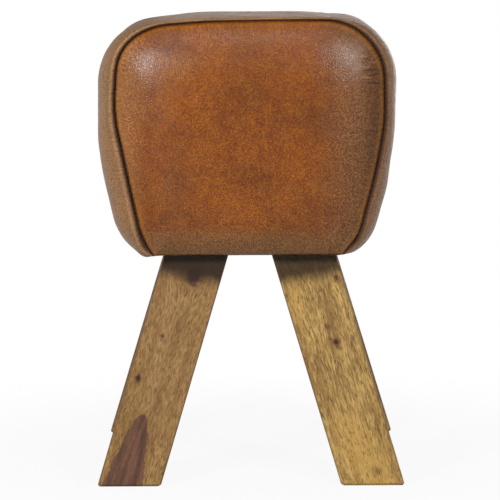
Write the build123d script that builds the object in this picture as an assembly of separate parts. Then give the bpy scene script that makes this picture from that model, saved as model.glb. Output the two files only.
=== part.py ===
from build123d import *
import math
import os

os.makedirs("parts", exist_ok=True)

# A padded leather buck stool: a sewn leather block on four splayed planks.
# X is the width, -Y is the end that faces the viewer, +Z is up, in millimetres.
# The origin lies on the floor, midway between the four feet.

# The whole stool
seat_height = 470.0
seam_spacing = 360.0

# The end seam: a rounded outline that tapers towards the legs. A taper is in degrees from upright, and
# a foot turn is the angle at which the lowest arc meets the underside.
block_height = 230.0
seam_half_width = 132.3
seam_rise = 0.6
seam_corner_radius = 58.0
seam_belly_radius = 150.0
seam_belly_drop = 81.0
seam_taper = 12.5
seam_foot_radius = 70.0
seam_foot_turn = 42.3

# The block's middle, where the padding swells most
side_swell = 21.0
top_swell = 3.0
seat_crown = 1.0
middle_corner_radius = 65.0
middle_belly_radius = 220.0
middle_belly_drop = 94.0
middle_taper = 9.0
middle_foot_radius = 46.0
middle_foot_turn = 78.0
panel_crown = 20.0

# Leather cover
leather = 1.4
pad_gap = 0.3
side_tuck = 26.0
end_tuck = 16.0
leg_slit = 1.5

# Legs. The inset is from the end of the seam to a leg's outer edge, where the leg enters the body.
# The rear pair leans a little more than the front pair, so a sliver of it shows beside the front feet.
leg_width = 61.0
leg_thickness = 35.0
leg_lean = 16.5
rear_leg_lean = 16.95
leg_inset = 8.9
leg_gap = 3.0
edge_ease = 2.0
foot_ease = 2.5

# Plywood carcass
edge_pad = 6.0
end_board_thickness = 12.0
base_thickness = 18.0
notch_play = 1.0
side_thickness = 12.0
side_lean = 8.0
side_play = 0.7
top_thickness = 12.0
seat_pad = 34.0

# Coach bolts, washers and nuts that hold the legs
bolts_a_leg = 2
bolt_diameter = 8.0
bolt_length = 60.0
bolt_play = 0.2
head_diameter = 20.0
head_height = 4.4
head_play = 0.3
neck_length = 5.0
bolt_edge = 13.0
bolt_spacing = 28.0
washer_clearance = 1.6
washer_diameter = 16.0
washer_thickness = 1.6
nut_sides = 6
nut_width = 13.0
nut_height = 6.8

# Long frame staples that hold the plywood, driven in flush
frame_crown = 10.0
frame_wire = 1.6
frame_leg = 38.0
frame_inset = 22.0

# Staples and the dust cover
staple_crown = 12.0
staple_wire = 1.2
staple_plate = 0.6
staple_leg = 8.0
staple_edge = 5.0
staple_pitch = 36.0
dust_cloth = 0.6
dust_margin = 9.0
dust_pitch = 66.0
dust_end_pitch = 33.0

# One length that every cut and every plain block overruns by
overrun = 30.0

# The lofts run through evenly spaced sections. The block swells from the seam as 1 less the share of
# the half length to a high power, and an end panel in the same way with the share of its half width.
stations_a_half = 3
swell_power = 6
crown_power = 5
ring_shares = (1.0, 0.86, 0.72, 0.58, 0.44, 0.3)

# Places that follow from the sizes
seam_top = seat_height - top_swell - seat_crown
underside = seam_top - block_height
base_bottom = underside + leather
half_length = seam_spacing / 2
board_face = half_length - edge_pad
board_back = board_face - end_board_thickness
leg_back = board_back - leg_thickness
carcass_top = seat_height - seat_pad
top_board_bottom = carcass_top - top_thickness
base_top = base_bottom + base_thickness
front_lean = math.radians(leg_lean)
rear_lean = math.radians(rear_leg_lean)
lowest_bolt = base_top + washer_diameter / 2 + washer_clearance
leg_top = lowest_bolt + (bolts_a_leg - 1) * bolt_spacing + bolt_edge


def between(low, high, share):
    return low + (high - low) * share


def swell_at(share):
    """How far the padding has swollen at a share of the half length, from 0 at the seam to 1."""
    return 1 - abs(share) ** swell_power


def crown_at(share):
    """How high an end panel stands at a share of its half width, from 0 at the seam to 1."""
    return (1 - share ** crown_power) / (1 - ring_shares[-1] ** crown_power)


def outline_points(swell, inset, bottom):
    """The right half of the block's outline in X and Z, drawn in by inset and cut level at bottom."""
    half = between(seam_half_width, seam_half_width + side_swell, swell)
    top = between(seam_top, seam_top + top_swell, swell)
    rise = between(seam_rise, seat_crown, swell)
    corner = between(seam_corner_radius, middle_corner_radius, swell)
    belly = between(seam_belly_radius, middle_belly_radius, swell)
    belly_z = top - between(seam_belly_drop, middle_belly_drop, swell)
    taper = math.radians(between(seam_taper, middle_taper, swell))
    foot = between(seam_foot_radius, middle_foot_radius, swell)
    turn = math.radians(between(seam_foot_turn, middle_foot_turn, swell))
    foot_z = underside + foot * (math.sin(turn) - math.sin(taper))

    corner_centre = (half - corner, top - corner)
    belly_centre = (half - belly, belly_z)
    belly_end_z = belly_z - belly * math.sin(taper)
    foot_x = belly_centre[0] + belly * math.cos(taper) - (belly_end_z - foot_z) * math.tan(taper)
    foot_centre = (foot_x - foot * math.cos(taper), foot_z + foot * math.sin(taper))

    def on_arc(centre, radius, angle):
        reach = radius - inset
        return (centre[0] + reach * math.cos(angle), centre[1] + reach * math.sin(angle))

    last = -math.asin((foot_centre[1] - bottom) / (foot - inset))
    return {
        "crown": (0.0, top - inset + rise),
        "corner": [on_arc(corner_centre, corner, a) for a in (math.pi / 2, math.pi / 4, 0.0)],
        "belly": [on_arc(belly_centre, belly, a) for a in (0.0, -taper / 2, -taper)],
        "foot": [on_arc(foot_centre, foot, a) for a in (-taper, (last - taper) / 2, last)],
    }


def section(swell, inset, bottom, y, scale=1.0):
    """A closed face of the outline at y, drawn smaller about the middle of its height by scale."""
    points = outline_points(swell, inset, bottom)
    middle_z = (seam_top + underside) / 2

    def place(point, side):
        return Vector(side * point[0] * scale, y, middle_z + (point[1] - middle_z) * scale)

    def half(side):
        corner = [place(p, side) for p in points["corner"]]
        belly = [place(p, side) for p in points["belly"]]
        foot = [place(p, side) for p in points["foot"]]
        return corner, belly, foot

    corner, belly, foot = half(1)
    corner_l, belly_l, foot_l = half(-1)
    edges = [
        Edge.make_line(foot_l[2], foot[2]),
        Edge.make_three_point_arc(foot[2], foot[1], foot[0]),
        Edge.make_line(foot[0], belly[2]),
        Edge.make_three_point_arc(belly[2], belly[1], belly[0]),
        Edge.make_line(belly[0], corner[2]),
        Edge.make_three_point_arc(corner[2], corner[1], corner[0]),
        Edge.make_three_point_arc(corner[0], place(points["crown"], 1), corner_l[0]),
        Edge.make_three_point_arc(corner_l[0], corner_l[1], corner_l[2]),
        Edge.make_line(corner_l[2], belly_l[0]),
        Edge.make_three_point_arc(belly_l[0], belly_l[1], belly_l[2]),
        Edge.make_line(belly_l[2], foot_l[0]),
        Edge.make_three_point_arc(foot_l[0], foot_l[1], foot_l[2]),
    ]
    return Face(Wire(edges))


def swollen_block(inset, bottom):
    """The block between the two seams, crowned from seam to seam."""
    stations = [i / stations_a_half for i in range(-stations_a_half, stations_a_half + 1)]
    return loft([section(swell_at(s), inset, bottom, s * half_length) for s in stations])


def end_dome(inset, bottom):
    """The crowned end in front of the seam, from the seam out to its flat middle."""
    crown = panel_crown - inset
    return loft([section(0.0, inset, bottom, -half_length - crown * crown_at(s), s) for s in ring_shares])


def one(piece):
    """The single solid that a cut or a union leaves."""
    return piece.solids()[0]


def rear(piece):
    return one(piece).mirror(Plane.XZ)


def left(piece):
    return one(piece).mirror(Plane.YZ)


def block(x0, x1, y0, y1, z0, z1):
    size = (x1 - x0, y1 - y0, z1 - z0)
    return Pos((x0 + x1) / 2, (y0 + y1) / 2, (z0 + z1) / 2) * Box(*size)


def rod(radius, start, length, direction):
    return extrude(Plane(origin=start, z_dir=direction) * Circle(radius), amount=length)


def lengthwise(points, y0, y1):
    """A prism along Y through the points, given in X and Z."""
    face = make_face(Polyline(*[(x, y0, z) for x, z in points], close=True))
    return extrude(face, amount=y1 - y0, dir=(0, 1, 0))


parts = {}


def keep(name, piece):
    parts[name] = piece


# Legs: flat planks that lean outwards and rise inside the body behind the end boards
seam_foot_end = outline_points(0.0, 0.0, underside)["foot"][2][0]


def outer_x(z, lean=front_lean):
    """The outer edge of a leg at height z."""
    return seam_foot_end - leg_inset - (z - underside) * math.tan(lean)


def inner_x(z, lean=front_lean):
    """The inner edge of a leg at height z."""
    return outer_x(z, lean) - leg_width / math.cos(lean)


def plank(lean):
    """The front right plank with that lean, its edges eased."""
    low, high = 0.0, leg_top
    outline = [
        (inner_x(low, lean), low),
        (outer_x(low, lean), low),
        (outer_x(high, lean), high),
        (inner_x(high, lean), high),
    ]
    leg = lengthwise(outline, -board_back, -leg_back)
    leg = chamfer(leg.faces().sort_by(Axis.Z)[0].edges(), foot_ease)
    long_edges = [e for e in leg.edges() if e.length > leg_top - foot_ease]
    leg = fillet(long_edges, edge_ease)

    # The inner top corner is sawn off upright, clear of the other leg of the pair
    leg -= block(-leg_width, leg_gap / 2, -half_length, half_length, underside, leg_top + overrun)
    return leg


front_leg = plank(front_lean)
rear_leg = plank(rear_lean)

# Coach bolts stand along the plank's centre line, above the base board
bolt_places = []
for i in range(bolts_a_leg):
    bolt_z = lowest_bolt + i * bolt_spacing
    bolt_places.append(((inner_x(bolt_z) + outer_x(bolt_z)) / 2, bolt_z))

bolt_ends = []
bolt_holes = []
head_pockets = []
washers = []
nuts = []
for bolt_x, bolt_z in bolt_places:
    seat_point = (bolt_x, -board_face, bolt_z)
    shank = rod(bolt_diameter / 2, seat_point, bolt_length, (0, 1, 0))
    neck = Pos(bolt_x, -board_face + neck_length / 2, bolt_z) * Box(bolt_diameter, neck_length, bolt_diameter)
    dome_radius = (head_diameter ** 2 / 4 + head_height ** 2) / (2 * head_height)
    dome = Pos(bolt_x, -board_face - head_height + dome_radius, bolt_z) * Sphere(dome_radius)
    head = dome & rod(head_diameter / 2, seat_point, head_height, (0, -1, 0))
    bolt_ends.append(shank + neck + head)
    hole = rod(bolt_diameter / 2 + bolt_play, seat_point, bolt_length, (0, 1, 0))
    bolt_holes.append(hole + neck)
    pocket = rod(head_diameter / 2 + head_play, seat_point, head_height + head_play, (0, -1, 0))
    head_pockets.append(pocket)
    washer_point = (bolt_x, -leg_back, bolt_z)
    bore = rod(bolt_diameter / 2, washer_point, overrun, (0, 1, 0))
    washers.append(rod(washer_diameter / 2, washer_point, washer_thickness, (0, 1, 0)) - bore)
    nut_plane = Plane(origin=(bolt_x, -leg_back + washer_thickness, bolt_z), z_dir=(0, 1, 0))
    outline = RegularPolygon(nut_width / 2, nut_sides, major_radius=False)
    nuts.append(extrude(nut_plane * outline, amount=nut_height) - bore)


def at_both_ends(pieces):
    """The front pieces and their twins at the rear."""
    return [one(p) for p in pieces] + [rear(p) for p in pieces]


def at_both_sides(pieces):
    """The right pieces and their twins on the left."""
    return [one(p) for p in pieces] + [left(p) for p in pieces]


def at_four_legs(pieces):
    return at_both_sides(at_both_ends(pieces))


def round_each_leg(cut):
    """One cut for each leg, which follows the lean of its pair."""
    return at_both_sides([cut(front_lean), rear(cut(rear_lean))])


for hole in bolt_holes:
    front_leg -= hole
    rear_leg -= hole

keep("front_right_leg", front_leg)
keep("front_left_leg", left(front_leg))
keep("rear_right_leg", rear(rear_leg))
keep("rear_left_leg", left(rear(rear_leg)))
keep("leg_bolts", Compound(at_four_legs(bolt_ends)))
keep("leg_washers", Compound(at_four_legs(washers)))
keep("leg_nuts", Compound(at_four_legs(nuts)))

# Carcass boards. The side boards stand just outside the legs and lean out towards the seat.
side_slope = math.tan(math.radians(side_lean))
side_level = side_thickness / math.cos(math.radians(side_lean))
base_half_width = outer_x(base_top) + side_play + side_level
side_top_half = base_half_width + (top_board_bottom - base_top) * side_slope

base_board = block(-base_half_width, base_half_width, -board_back, board_back, base_bottom, base_top)
notch_outer = outer_x(base_bottom) + notch_play


def notch(lean):
    low, high = base_bottom - overrun, base_top + overrun
    near, far = -board_back - overrun, -leg_back + notch_play
    return block(inner_x(base_top, lean) - notch_play, notch_outer, near, far, low, high)


for cut in round_each_leg(notch):
    base_board -= cut

side_outline = [
    (base_half_width, base_top),
    (side_top_half, top_board_bottom),
    (side_top_half - side_level, top_board_bottom),
    (base_half_width - side_level, base_top),
]
side_board = lengthwise(side_outline, -board_back, board_back)
top_board = block(-side_top_half, side_top_half, -board_back, board_back, top_board_bottom, carcass_top)

board_section = section(0.0, edge_pad, base_bottom, -board_face)
end_board = extrude(board_section, amount=end_board_thickness, dir=(0, 1, 0))
for hole in bolt_holes:
    end_board -= hole
    end_board -= left(hole)


def frame_staple(x, z, along_x):
    """A staple through an end board into the end of another board, its crown flush with the face."""
    wide, high = (frame_crown, frame_wire) if along_x else (frame_wire, frame_crown)
    crown_y = -board_face + frame_wire / 2
    piece = Pos(x, crown_y, z) * Box(wide, frame_wire, high)
    step = (frame_crown - frame_wire) / 2
    for side in (-1, 1):
        dx, dz = (side * step, 0.0) if along_x else (0.0, side * step)
        piece += Pos(x + dx, -board_face + frame_leg / 2, z + dz) * Box(frame_wire, frame_leg, frame_wire)
    return one(piece)


# Frame staples at each corner: one in the base board, two in the side board and one in the top board.
# The base board reaches the end board outside the notches, under the side board.
base_lug = (notch_outer + base_half_width) / 2
low_side = base_half_width - side_level / 2 + frame_inset * side_slope
high_side = side_top_half - side_level / 2 - frame_inset * side_slope
frame_staples = [
    frame_staple(base_lug, base_bottom + base_thickness / 2, False),
    frame_staple(low_side, base_top + frame_inset, False),
    frame_staple(high_side, top_board_bottom - frame_inset, False),
    frame_staple(side_top_half - 2 * frame_inset, carcass_top - top_thickness / 2, True),
]
frame_staples = at_four_legs(frame_staples)

# Padding: the inside of the cover, less the boards
pad_inset = leather + pad_gap
pad = swollen_block(pad_inset, base_bottom)
wide_x = seam_half_width + side_swell + overrun
low_z = underside - overrun
high_z = seat_height + overrun
end_zone = block(-wide_x, wide_x, -half_length - overrun, -board_face, low_z, high_z)
seat_zone = block(-wide_x, wide_x, -board_face, board_face, carcass_top, high_z)

front_foam = (pad & end_zone) + end_dome(pad_inset, base_bottom)
for pocket in head_pockets:
    front_foam -= pocket
    front_foam -= left(pocket)

carcass_outline = [
    (0.0, low_z),
    (base_half_width, low_z),
    (base_half_width, base_top),
    (side_top_half, top_board_bottom),
    (side_top_half, carcass_top),
    (0.0, carcass_top),
]
carcass_half = lengthwise(carcass_outline, -half_length, half_length)
side_zone = block(0.0, wide_x, -board_face, board_face, low_z, carcass_top)
end_boards = at_both_ends([end_board])
seat_foam = pad & seat_zone
side_foam = (pad & side_zone) - carcass_half
for board in end_boards:
    seat_foam -= board
    side_foam -= board

# Cover: one strip over the top and both sides, and a crowned panel at each end
tuck_edge = seam_foot_end - side_tuck
band = swollen_block(0.0, underside) - swollen_block(leather, base_bottom)
band -= block(-tuck_edge, tuck_edge, -half_length - overrun, half_length + overrun, low_z, base_bottom)


def slit(lean):
    near, far = -board_back - leg_slit, -leg_back + leg_slit
    inner, outer = inner_x(underside, lean) - leg_slit, outer_x(underside, lean) + leg_slit
    return block(inner, outer, near, far, low_z, base_bottom)


slits = round_each_leg(slit)
for cut in slits:
    band -= cut

panel = end_dome(0.0, underside) - end_dome(leather, base_bottom)
panel += block(-tuck_edge, tuck_edge, -half_length, -half_length + end_tuck, underside, base_bottom)


def staple(x, y, along_x, plate_top):
    """A staple driven up from below, its plate's top at plate_top."""
    long_x, long_y = (staple_crown, staple_wire) if along_x else (staple_wire, staple_crown)
    plate = Pos(x, y, plate_top - staple_plate / 2) * Box(long_x, long_y, staple_plate)
    step = (staple_crown - staple_wire) / 2
    for side in (-1, 1):
        dx, dy = (side * step, 0.0) if along_x else (0.0, side * step)
        plate += Pos(x + dx, y + dy, plate_top + staple_leg / 2) * Box(staple_wire, staple_wire, staple_leg)
    return one(plate)


def row(pitch, reach):
    """Evenly pitched places either side of zero, out to reach."""
    count = max(1, int(reach / pitch))
    return [pitch * (i - count / 2) for i in range(count + 1)]


# Staples through the tucked leather, into the base board and the end boards
tuck_line = tuck_edge + staple_edge
end_line = half_length - end_tuck + staple_edge
clear_length = 2 * (leg_back - leg_slit - staple_crown)
cover_staples = [staple(tuck_line, y, False, underside) for y in row(staple_pitch, clear_length)]
cover_staples = at_both_sides(cover_staples)
end_staples = [staple(x, -end_line, True, underside) for x in row(staple_pitch, 2 * staple_pitch)]
cover_staples += at_both_ends(end_staples)

# Dust cover and its staples
cloth_top = underside - staple_plate
cloth_half = seam_foot_end - dust_margin
cloth_length = half_length - dust_margin
dust_cover = block(-cloth_half, cloth_half, -cloth_length, cloth_length, cloth_top - dust_cloth, cloth_top)
for cut in slits:
    dust_cover -= cut
dust_line = cloth_half - staple_edge
dust_end = cloth_length - staple_edge
dust_top = cloth_top - dust_cloth
dust_staples = [staple(dust_line, y, False, dust_top) for y in row(dust_pitch, clear_length)]
dust_staples = at_both_sides(dust_staples)
end_staples = [staple(x, -dust_end, True, dust_top) for x in row(dust_end_pitch, dust_end_pitch)]
dust_staples += at_both_ends(end_staples)

# Every hole that a staple makes
for fastener in frame_staples:
    base_board -= fastener
    side_board -= fastener
    top_board -= fastener
    end_board -= fastener
for fastener in cover_staples + dust_staples:
    base_board -= fastener
    end_board -= fastener
    band -= fastener
    panel -= fastener
for fastener in dust_staples:
    dust_cover -= fastener

keep("base_board", base_board)
keep("front_end_board", end_board)
keep("rear_end_board", rear(end_board))
keep("right_side_board", side_board)
keep("left_side_board", left(side_board))
keep("top_board", top_board)
keep("carcass_staples", Compound(frame_staples))
keep("seat_foam", seat_foam)
keep("right_side_foam", side_foam)
keep("left_side_foam", left(side_foam))
keep("front_foam", front_foam)
keep("rear_foam", rear(front_foam))
keep("cover_band", band)
keep("front_panel", panel)
keep("rear_panel", rear(panel))
keep("cover_staples", Compound(cover_staples))
keep("dust_cover", dust_cover)
keep("dust_cover_staples", Compound(dust_staples))

for name, piece in parts.items():
    solids = piece.solids()
    export_step(Compound(solids), "parts/" + name + ".step")
    print(name, len(solids), "solids", round(sum(s.volume for s in solids)), "cubic mm")
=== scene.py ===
# %% [markdown]
# # A padded leather buck stool
#
# The real object is a sewn leather block, stuffed over a plywood box, on four splayed planks of
# hardwood. The CAD model already holds every piece at its real size. This lesson keeps the rigid
# pieces, gives them their finishes, and makes the soft ones again as fine meshes.
#
# Lengths are in metres here, so a size that a maker would give in millimetres is written times mm.

# %% Open the frame
from math import asin, cos, pi, radians, sin, tan

import bpy
import numpy as np
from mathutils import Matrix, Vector, noise


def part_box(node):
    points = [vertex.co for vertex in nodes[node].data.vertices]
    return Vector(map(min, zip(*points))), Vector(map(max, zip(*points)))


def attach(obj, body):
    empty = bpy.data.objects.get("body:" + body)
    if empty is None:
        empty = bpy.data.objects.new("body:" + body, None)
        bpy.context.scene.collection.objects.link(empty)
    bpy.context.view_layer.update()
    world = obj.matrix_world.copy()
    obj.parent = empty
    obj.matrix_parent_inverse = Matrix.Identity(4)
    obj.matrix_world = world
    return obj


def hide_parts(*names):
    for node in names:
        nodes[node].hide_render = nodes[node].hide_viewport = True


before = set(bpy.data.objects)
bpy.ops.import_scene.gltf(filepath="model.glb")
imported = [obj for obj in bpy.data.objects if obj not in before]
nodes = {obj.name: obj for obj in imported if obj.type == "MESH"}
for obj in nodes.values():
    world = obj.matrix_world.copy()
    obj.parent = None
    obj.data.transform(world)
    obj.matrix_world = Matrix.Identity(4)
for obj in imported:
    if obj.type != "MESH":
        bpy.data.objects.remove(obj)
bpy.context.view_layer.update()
mm = 0.001

# %% [markdown]
# ## The block's outline
#
# Seen from its end, the block is a rounded outline that tapers towards the legs. Each half is a nearly
# flat crown, a corner arc, a long slow belly arc, a straight run and a foot arc. One set of sizes
# describes the seam, where the leather is drawn in, and another the middle, where the padding swells.
# Any section between them mixes the two sets, so one short formula makes the whole block. A sculpted
# blob would look similar, but it would drift away from the solids that it has to cover.

# %% Sizes of the two outlines
seam_sizes = {
    "half": 132.3 * mm,
    "top": 466.0 * mm,
    "rise": 0.6 * mm,
    "corner": 58.0 * mm,
    "belly": 150.0 * mm,
    "drop": 81.0 * mm,
    "taper": radians(12.5),
    "foot": 70.0 * mm,
    "turn": radians(42.3),
}
middle_sizes = {
    "half": 150.5 * mm,
    "top": 469.0 * mm,
    "rise": 1.0 * mm,
    "corner": 65.0 * mm,
    "belly": 220.0 * mm,
    "drop": 94.0 * mm,
    "taper": radians(9.0),
    "foot": 46.0 * mm,
    "turn": radians(78.0),
}
underside = 236.0 * mm
middle_height = (seam_sizes["top"] + underside) / 2
half_length = 180.0 * mm
print("The padding swells by", round(middle_sizes["half"] - seam_sizes["half"], 4), "m at each side")

# %% From sizes to points
arc_steps = 40


def arc(centre, radius, start, end):
    turns = np.linspace(start, end, arc_steps)
    return np.column_stack((centre[0] + radius * np.cos(turns), centre[1] + radius * np.sin(turns)))


def right_half(swell, inset, bottom):
    """Points in X and Z from the top middle down the right side to the level bottom."""
    size = {name: seam_sizes[name] + (middle_sizes[name] - seam_sizes[name]) * swell for name in seam_sizes}
    half, top, corner, belly, foot = (size[name] for name in ("half", "top", "corner", "belly", "foot"))
    taper = size["taper"]
    belly_z = top - size["drop"]
    foot_z = underside + foot * (sin(size["turn"]) - sin(taper))
    belly_end = belly_z - belly * sin(taper)
    foot_x = half - belly + belly * cos(taper) - (belly_end - foot_z) * tan(taper)
    foot_centre = (foot_x - foot * cos(taper), foot_z + foot * sin(taper))
    last = -asin((foot_centre[1] - bottom) / (foot - inset))
    across = np.linspace(0.0, 1.0, arc_steps)[:-1]
    crown_z = top - inset + size["rise"] * (1 - across ** 2)
    crown = np.column_stack((across * (half - corner), crown_z))
    return np.vstack((
        crown,
        arc((half - corner, top - corner), corner - inset, pi / 2, 0.0),
        arc((half - belly, belly_z), belly - inset, 0.0, -taper),
        arc(foot_centre, foot - inset, -taper, last),
    ))


print("Points of one half of the seam's outline:", len(right_half(0.0, 0.0, underside)))


# %% Both halves, evenly spaced
def evenly(points, count):
    """The same line through count evenly spaced points."""
    steps = np.linalg.norm(np.diff(points, axis=0), axis=1)
    along = np.concatenate(([0.0], np.cumsum(steps)))
    wanted = np.linspace(0.0, along[-1], count)
    return np.column_stack([np.interp(wanted, along, points[:, k]) for k in range(points.shape[1])])


def outline(swell, count, inset=0.0, bottom=underside):
    """From the bottom left end, over the top, to the bottom right end."""
    right = right_half(swell, inset, bottom)
    mirrored = right[:0:-1] * (-1, 1)
    return evenly(np.vstack((mirrored, right)), count)


fine_points = 1000
seam_line = outline(0.0, fine_points)
seam_length = np.linalg.norm(np.diff(seam_line, axis=0), axis=1).sum()
print("End seam over the top and both sides:", round(seam_length, 4), "m")

# %% [markdown]
# ## Unevenness
#
# A stuffed block is never symmetrical. A short list of soft pushes, each with a direction seen from
# the middle of the block, a width and a depth, moves the seam and the swollen middle outwards or
# inwards. A few listed pushes keep the surface smooth, where free vertex moves would dent it.

# %% Soft pushes of the seam and of the middle
# Each is a direction in degrees from +X, a half width in degrees and a push
seam_pushes = [
    (42.0, 10.0, -0.4 * mm),
    (108.0, 30.0, -1.1 * mm),
    (127.0, 12.0, -2.8 * mm),
    (155.0, 6.0, -1.5 * mm),
    (180.0, 18.0, -1.0 * mm),
    (230.0, 6.0, 1.2 * mm),
    (311.0, 4.0, -2.0 * mm),
    (346.0, 22.0, 2.6 * mm),
]
middle_pushes = [
    (42.0, 12.0, 0.8 * mm),
    (54.0, 6.0, -1.3 * mm),
    (128.5, 8.0, -3.2 * mm),
    (174.0, 6.0, -1.1 * mm),
    (190.0, 22.0, 4.0 * mm),
    (207.0, 9.0, -0.3 * mm),
    (225.0, 9.0, 4.2 * mm),
    (8.0, 28.0, -4.6 * mm),
    (328.0, 9.0, -5.8 * mm),
    (311.0, 5.0, 2.6 * mm),
    (348.0, 10.0, -1.2 * mm),
]
print("Soft pushes of the seam:", len(seam_pushes), "and of the middle:", len(middle_pushes))


# %% The stuffed outline
def side_normals(line):
    """Unit normals of a line in X and Z that point out of the block."""
    along = np.gradient(line, axis=0)
    along /= np.linalg.norm(along, axis=1)[:, None]
    return np.column_stack((-along[:, 1], along[:, 0]))


def directions(line):
    """Where each point lies round the block's middle, in degrees from +X."""
    return np.degrees(np.arctan2(line[:, 1] - middle_height, line[:, 0])) % 360


def pushed(line, pushes, share):
    """The line with each soft push applied, scaled by share."""
    angles = directions(line)
    normals = side_normals(line)
    moved = line.copy()
    for direction, width, push in pushes:
        away = (angles - direction + 180) % 360 - 180
        moved += normals * (push * share * np.exp(-(away / width) ** 2))[:, None]
    return moved


def stuffed_outline(swell, count, inset=0.0, bottom=underside):
    line = outline(swell, count, inset, bottom)
    return pushed(pushed(line, seam_pushes, 1 - swell), middle_pushes, swell)


middle_x = stuffed_outline(1.0, fine_points)[:, 0]
print("The middle reaches from", middle_x.min().round(4), "to", middle_x.max().round(4))

# %% [markdown]
# ## The sunken end of the seat
#
# Years of use have pressed the seat down towards its rear end. The strip, the rear panel, the stitches and
# the foam pass through one function, `settled`, so the leather, its stitches and the foam under it sink
# together.

# %% Lower the rear of the seat
rear_settle = 5.8 * mm
settle_from = 437.0 * mm
settle_to = 466.0 * mm
settle_power = 1.15


def smooth_step(low, high, values):
    """0 up to low, 1 from high on, and a smooth rise between them."""
    share = np.clip((np.asarray(values, float) - low) / (high - low), 0, 1)
    return share * share * (3 - 2 * share)


def settled(points):
    """The points with the seat's top lowered towards the rear."""
    points = np.array(points, float)
    share = np.clip(points[..., 1] / half_length, 0, 1) ** settle_power
    points[..., 2] -= rear_settle * share * smooth_step(settle_from, settle_to, points[..., 2])
    return points


seat_ends = [(0.0, -half_length, settle_to), (0.0, half_length, settle_to)]
print("Heights of the seat's front and rear edge:", settled(seat_ends)[:, 2].round(4))

# %% [markdown]
# ## Small helpers for meshes
#
# Every soft piece is a grid of points. `wander` gives smooth noise from a fixed seed, so each run makes
# the same stool. `weave` joins the rows of a grid, where a row may keep fewer points than the one
# before it. `piece` turns points and faces into an object that rides on the stool's only body.

# %% Smooth noise
seed_shifts = (7.31, 3.17, 5.73)


def wander(points, size, seed):
    """Smooth noise from about -1 to 1 at each point, with features of about that size."""
    shift = Vector([seed * step for step in seed_shifts])
    return np.array([noise.noise(Vector(p) / size + shift, noise_basis="PERLIN_NEW") for p in points])


print("Noise at three places:", wander([(0.0, 0.0, 0.0), (0.1, 0.0, 0.0), (0.2, 0.0, 0.0)], 0.04, 1).round(2))


# %% Faces between rows
def grid_faces(rows, columns, first=0, closed=False):
    """Quads between the points of a grid. A closed grid joins its last column to its first."""
    faces = []
    for i in range(rows - 1):
        for j in range(columns if closed else columns - 1):
            k = (j + 1) % columns
            faces.append((
                first + i * columns + j,
                first + i * columns + k,
                first + (i + 1) * columns + k,
                first + (i + 1) * columns + j,
            ))
    return faces


def bridge(first, second, closed):
    """Faces between two rows of point numbers. One row may have half as many steps as the other."""
    if len(first) < len(second):
        return [tuple(reversed(face)) for face in bridge(second, first, closed)]
    faces = []
    for k in range(len(second) if closed else len(second) - 1):
        n = (k + 1) % len(second)
        if len(first) == len(second):
            faces.append((first[k], first[n], second[n], second[k]))
            continue
        a, b, c = first[2 * k], first[2 * k + 1], first[(2 * k + 2) % len(first)]
        faces += [(a, b, second[k]), (b, second[n], second[k]), (b, c, second[n])]
    return faces


print("Faces between rows of 5 and 3 points:", bridge([0, 1, 2, 3, 4], [5, 6, 7], False))


# %% Grids of rows
def weave(grid, steps, closed):
    """Points, faces and rows of a grid. Each row keeps every point, or every second or fourth and so on."""
    points, rows, faces = [], [], []
    for line, step in zip(grid, steps):
        chosen = line[::step]
        rows.append(list(range(len(points), len(points) + len(chosen))))
        points.extend(chosen)
    for first, second in zip(rows, rows[1:]):
        faces += bridge(first, second, closed)
    return points, faces, rows


def grid_normals(grid):
    """Unit normals of a grid of points, given as an array of rows, columns and XYZ."""
    down = np.gradient(grid, axis=0)
    across = np.gradient(grid, axis=1)
    normals = np.cross(down, across)
    return normals / np.linalg.norm(normals, axis=2)[:, :, None]


print("Rows woven from a small grid:", weave([[0, 1, 2, 3, 4], [5, 6, 7, 8, 9]], (1, 2), False)[2])


# %% From points to pieces
def piece(name, points, faces, material, replaced=()):
    """An object of points and faces. A point may add two marks: wax and painted shade, painted highlight."""
    mesh = bpy.data.meshes.new(name)
    mesh.from_pydata([tuple(p[:3]) for p in points], [], faces)
    if len(points[0]) == 5:
        for k, mark_name in ((3, "seam_wax_and_shade"), (4, "seam_painted_highlight")):
            values = mesh.attributes.new(mark_name, "FLOAT", "POINT").data
            values.foreach_set("value", [float(p[k]) for p in points])
    mesh.validate()
    mesh.materials.append(material)
    mesh.shade_smooth()
    made = bpy.data.objects.new(name, mesh)
    bpy.context.scene.collection.objects.link(made)
    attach(made, "root")
    if replaced:
        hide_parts(*replaced)
    return made


def thicken(made, thickness):
    """Gives a skin its thickness, inwards from the points as they are."""
    solid = made.modifiers.new("thickness", "SOLIDIFY")
    solid.thickness = thickness
    solid.offset = -1.0
    with bpy.context.temp_override(object=made, active_object=made):
        bpy.ops.object.modifier_apply(modifier=solid.name)


# %% [markdown]
# ## Small helpers for materials
#
# Node trees are written as sums. `add` places one node, sets its values and links whatever is a socket.
# The rest are short names for the nodes that come up again and again. `tint` and `raised` are the two
# most used: one lays a tone over a colour where a mask is, the other adds a share of a value.

# %% Nodes
def add(tree, kind, inputs=None, **settings):
    made = tree.nodes.new("ShaderNode" + kind)
    for name, value in settings.items():
        setattr(made, name, value)
    for name, value in (inputs or {}).items():
        if isinstance(value, bpy.types.NodeSocket):
            tree.links.new(value, made.inputs[name])
        else:
            made.inputs[name].default_value = value
    return made


def maths(tree, operation, *values, clamp=False):
    return add(tree, "Math", dict(enumerate(values)), operation=operation, use_clamp=clamp).outputs[0]


def raised(tree, base, value, share):
    """The base and a share of the value."""
    return maths(tree, "ADD", base, maths(tree, "MULTIPLY", value, share))


def ramp(tree, value, low, high, to_low=0.0, to_high=1.0):
    inputs = {"Value": value, "From Min": low, "From Max": high, "To Min": to_low, "To Max": to_high}
    return add(tree, "MapRange", inputs, interpolation_type="SMOOTHSTEP").outputs[0]


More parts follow.
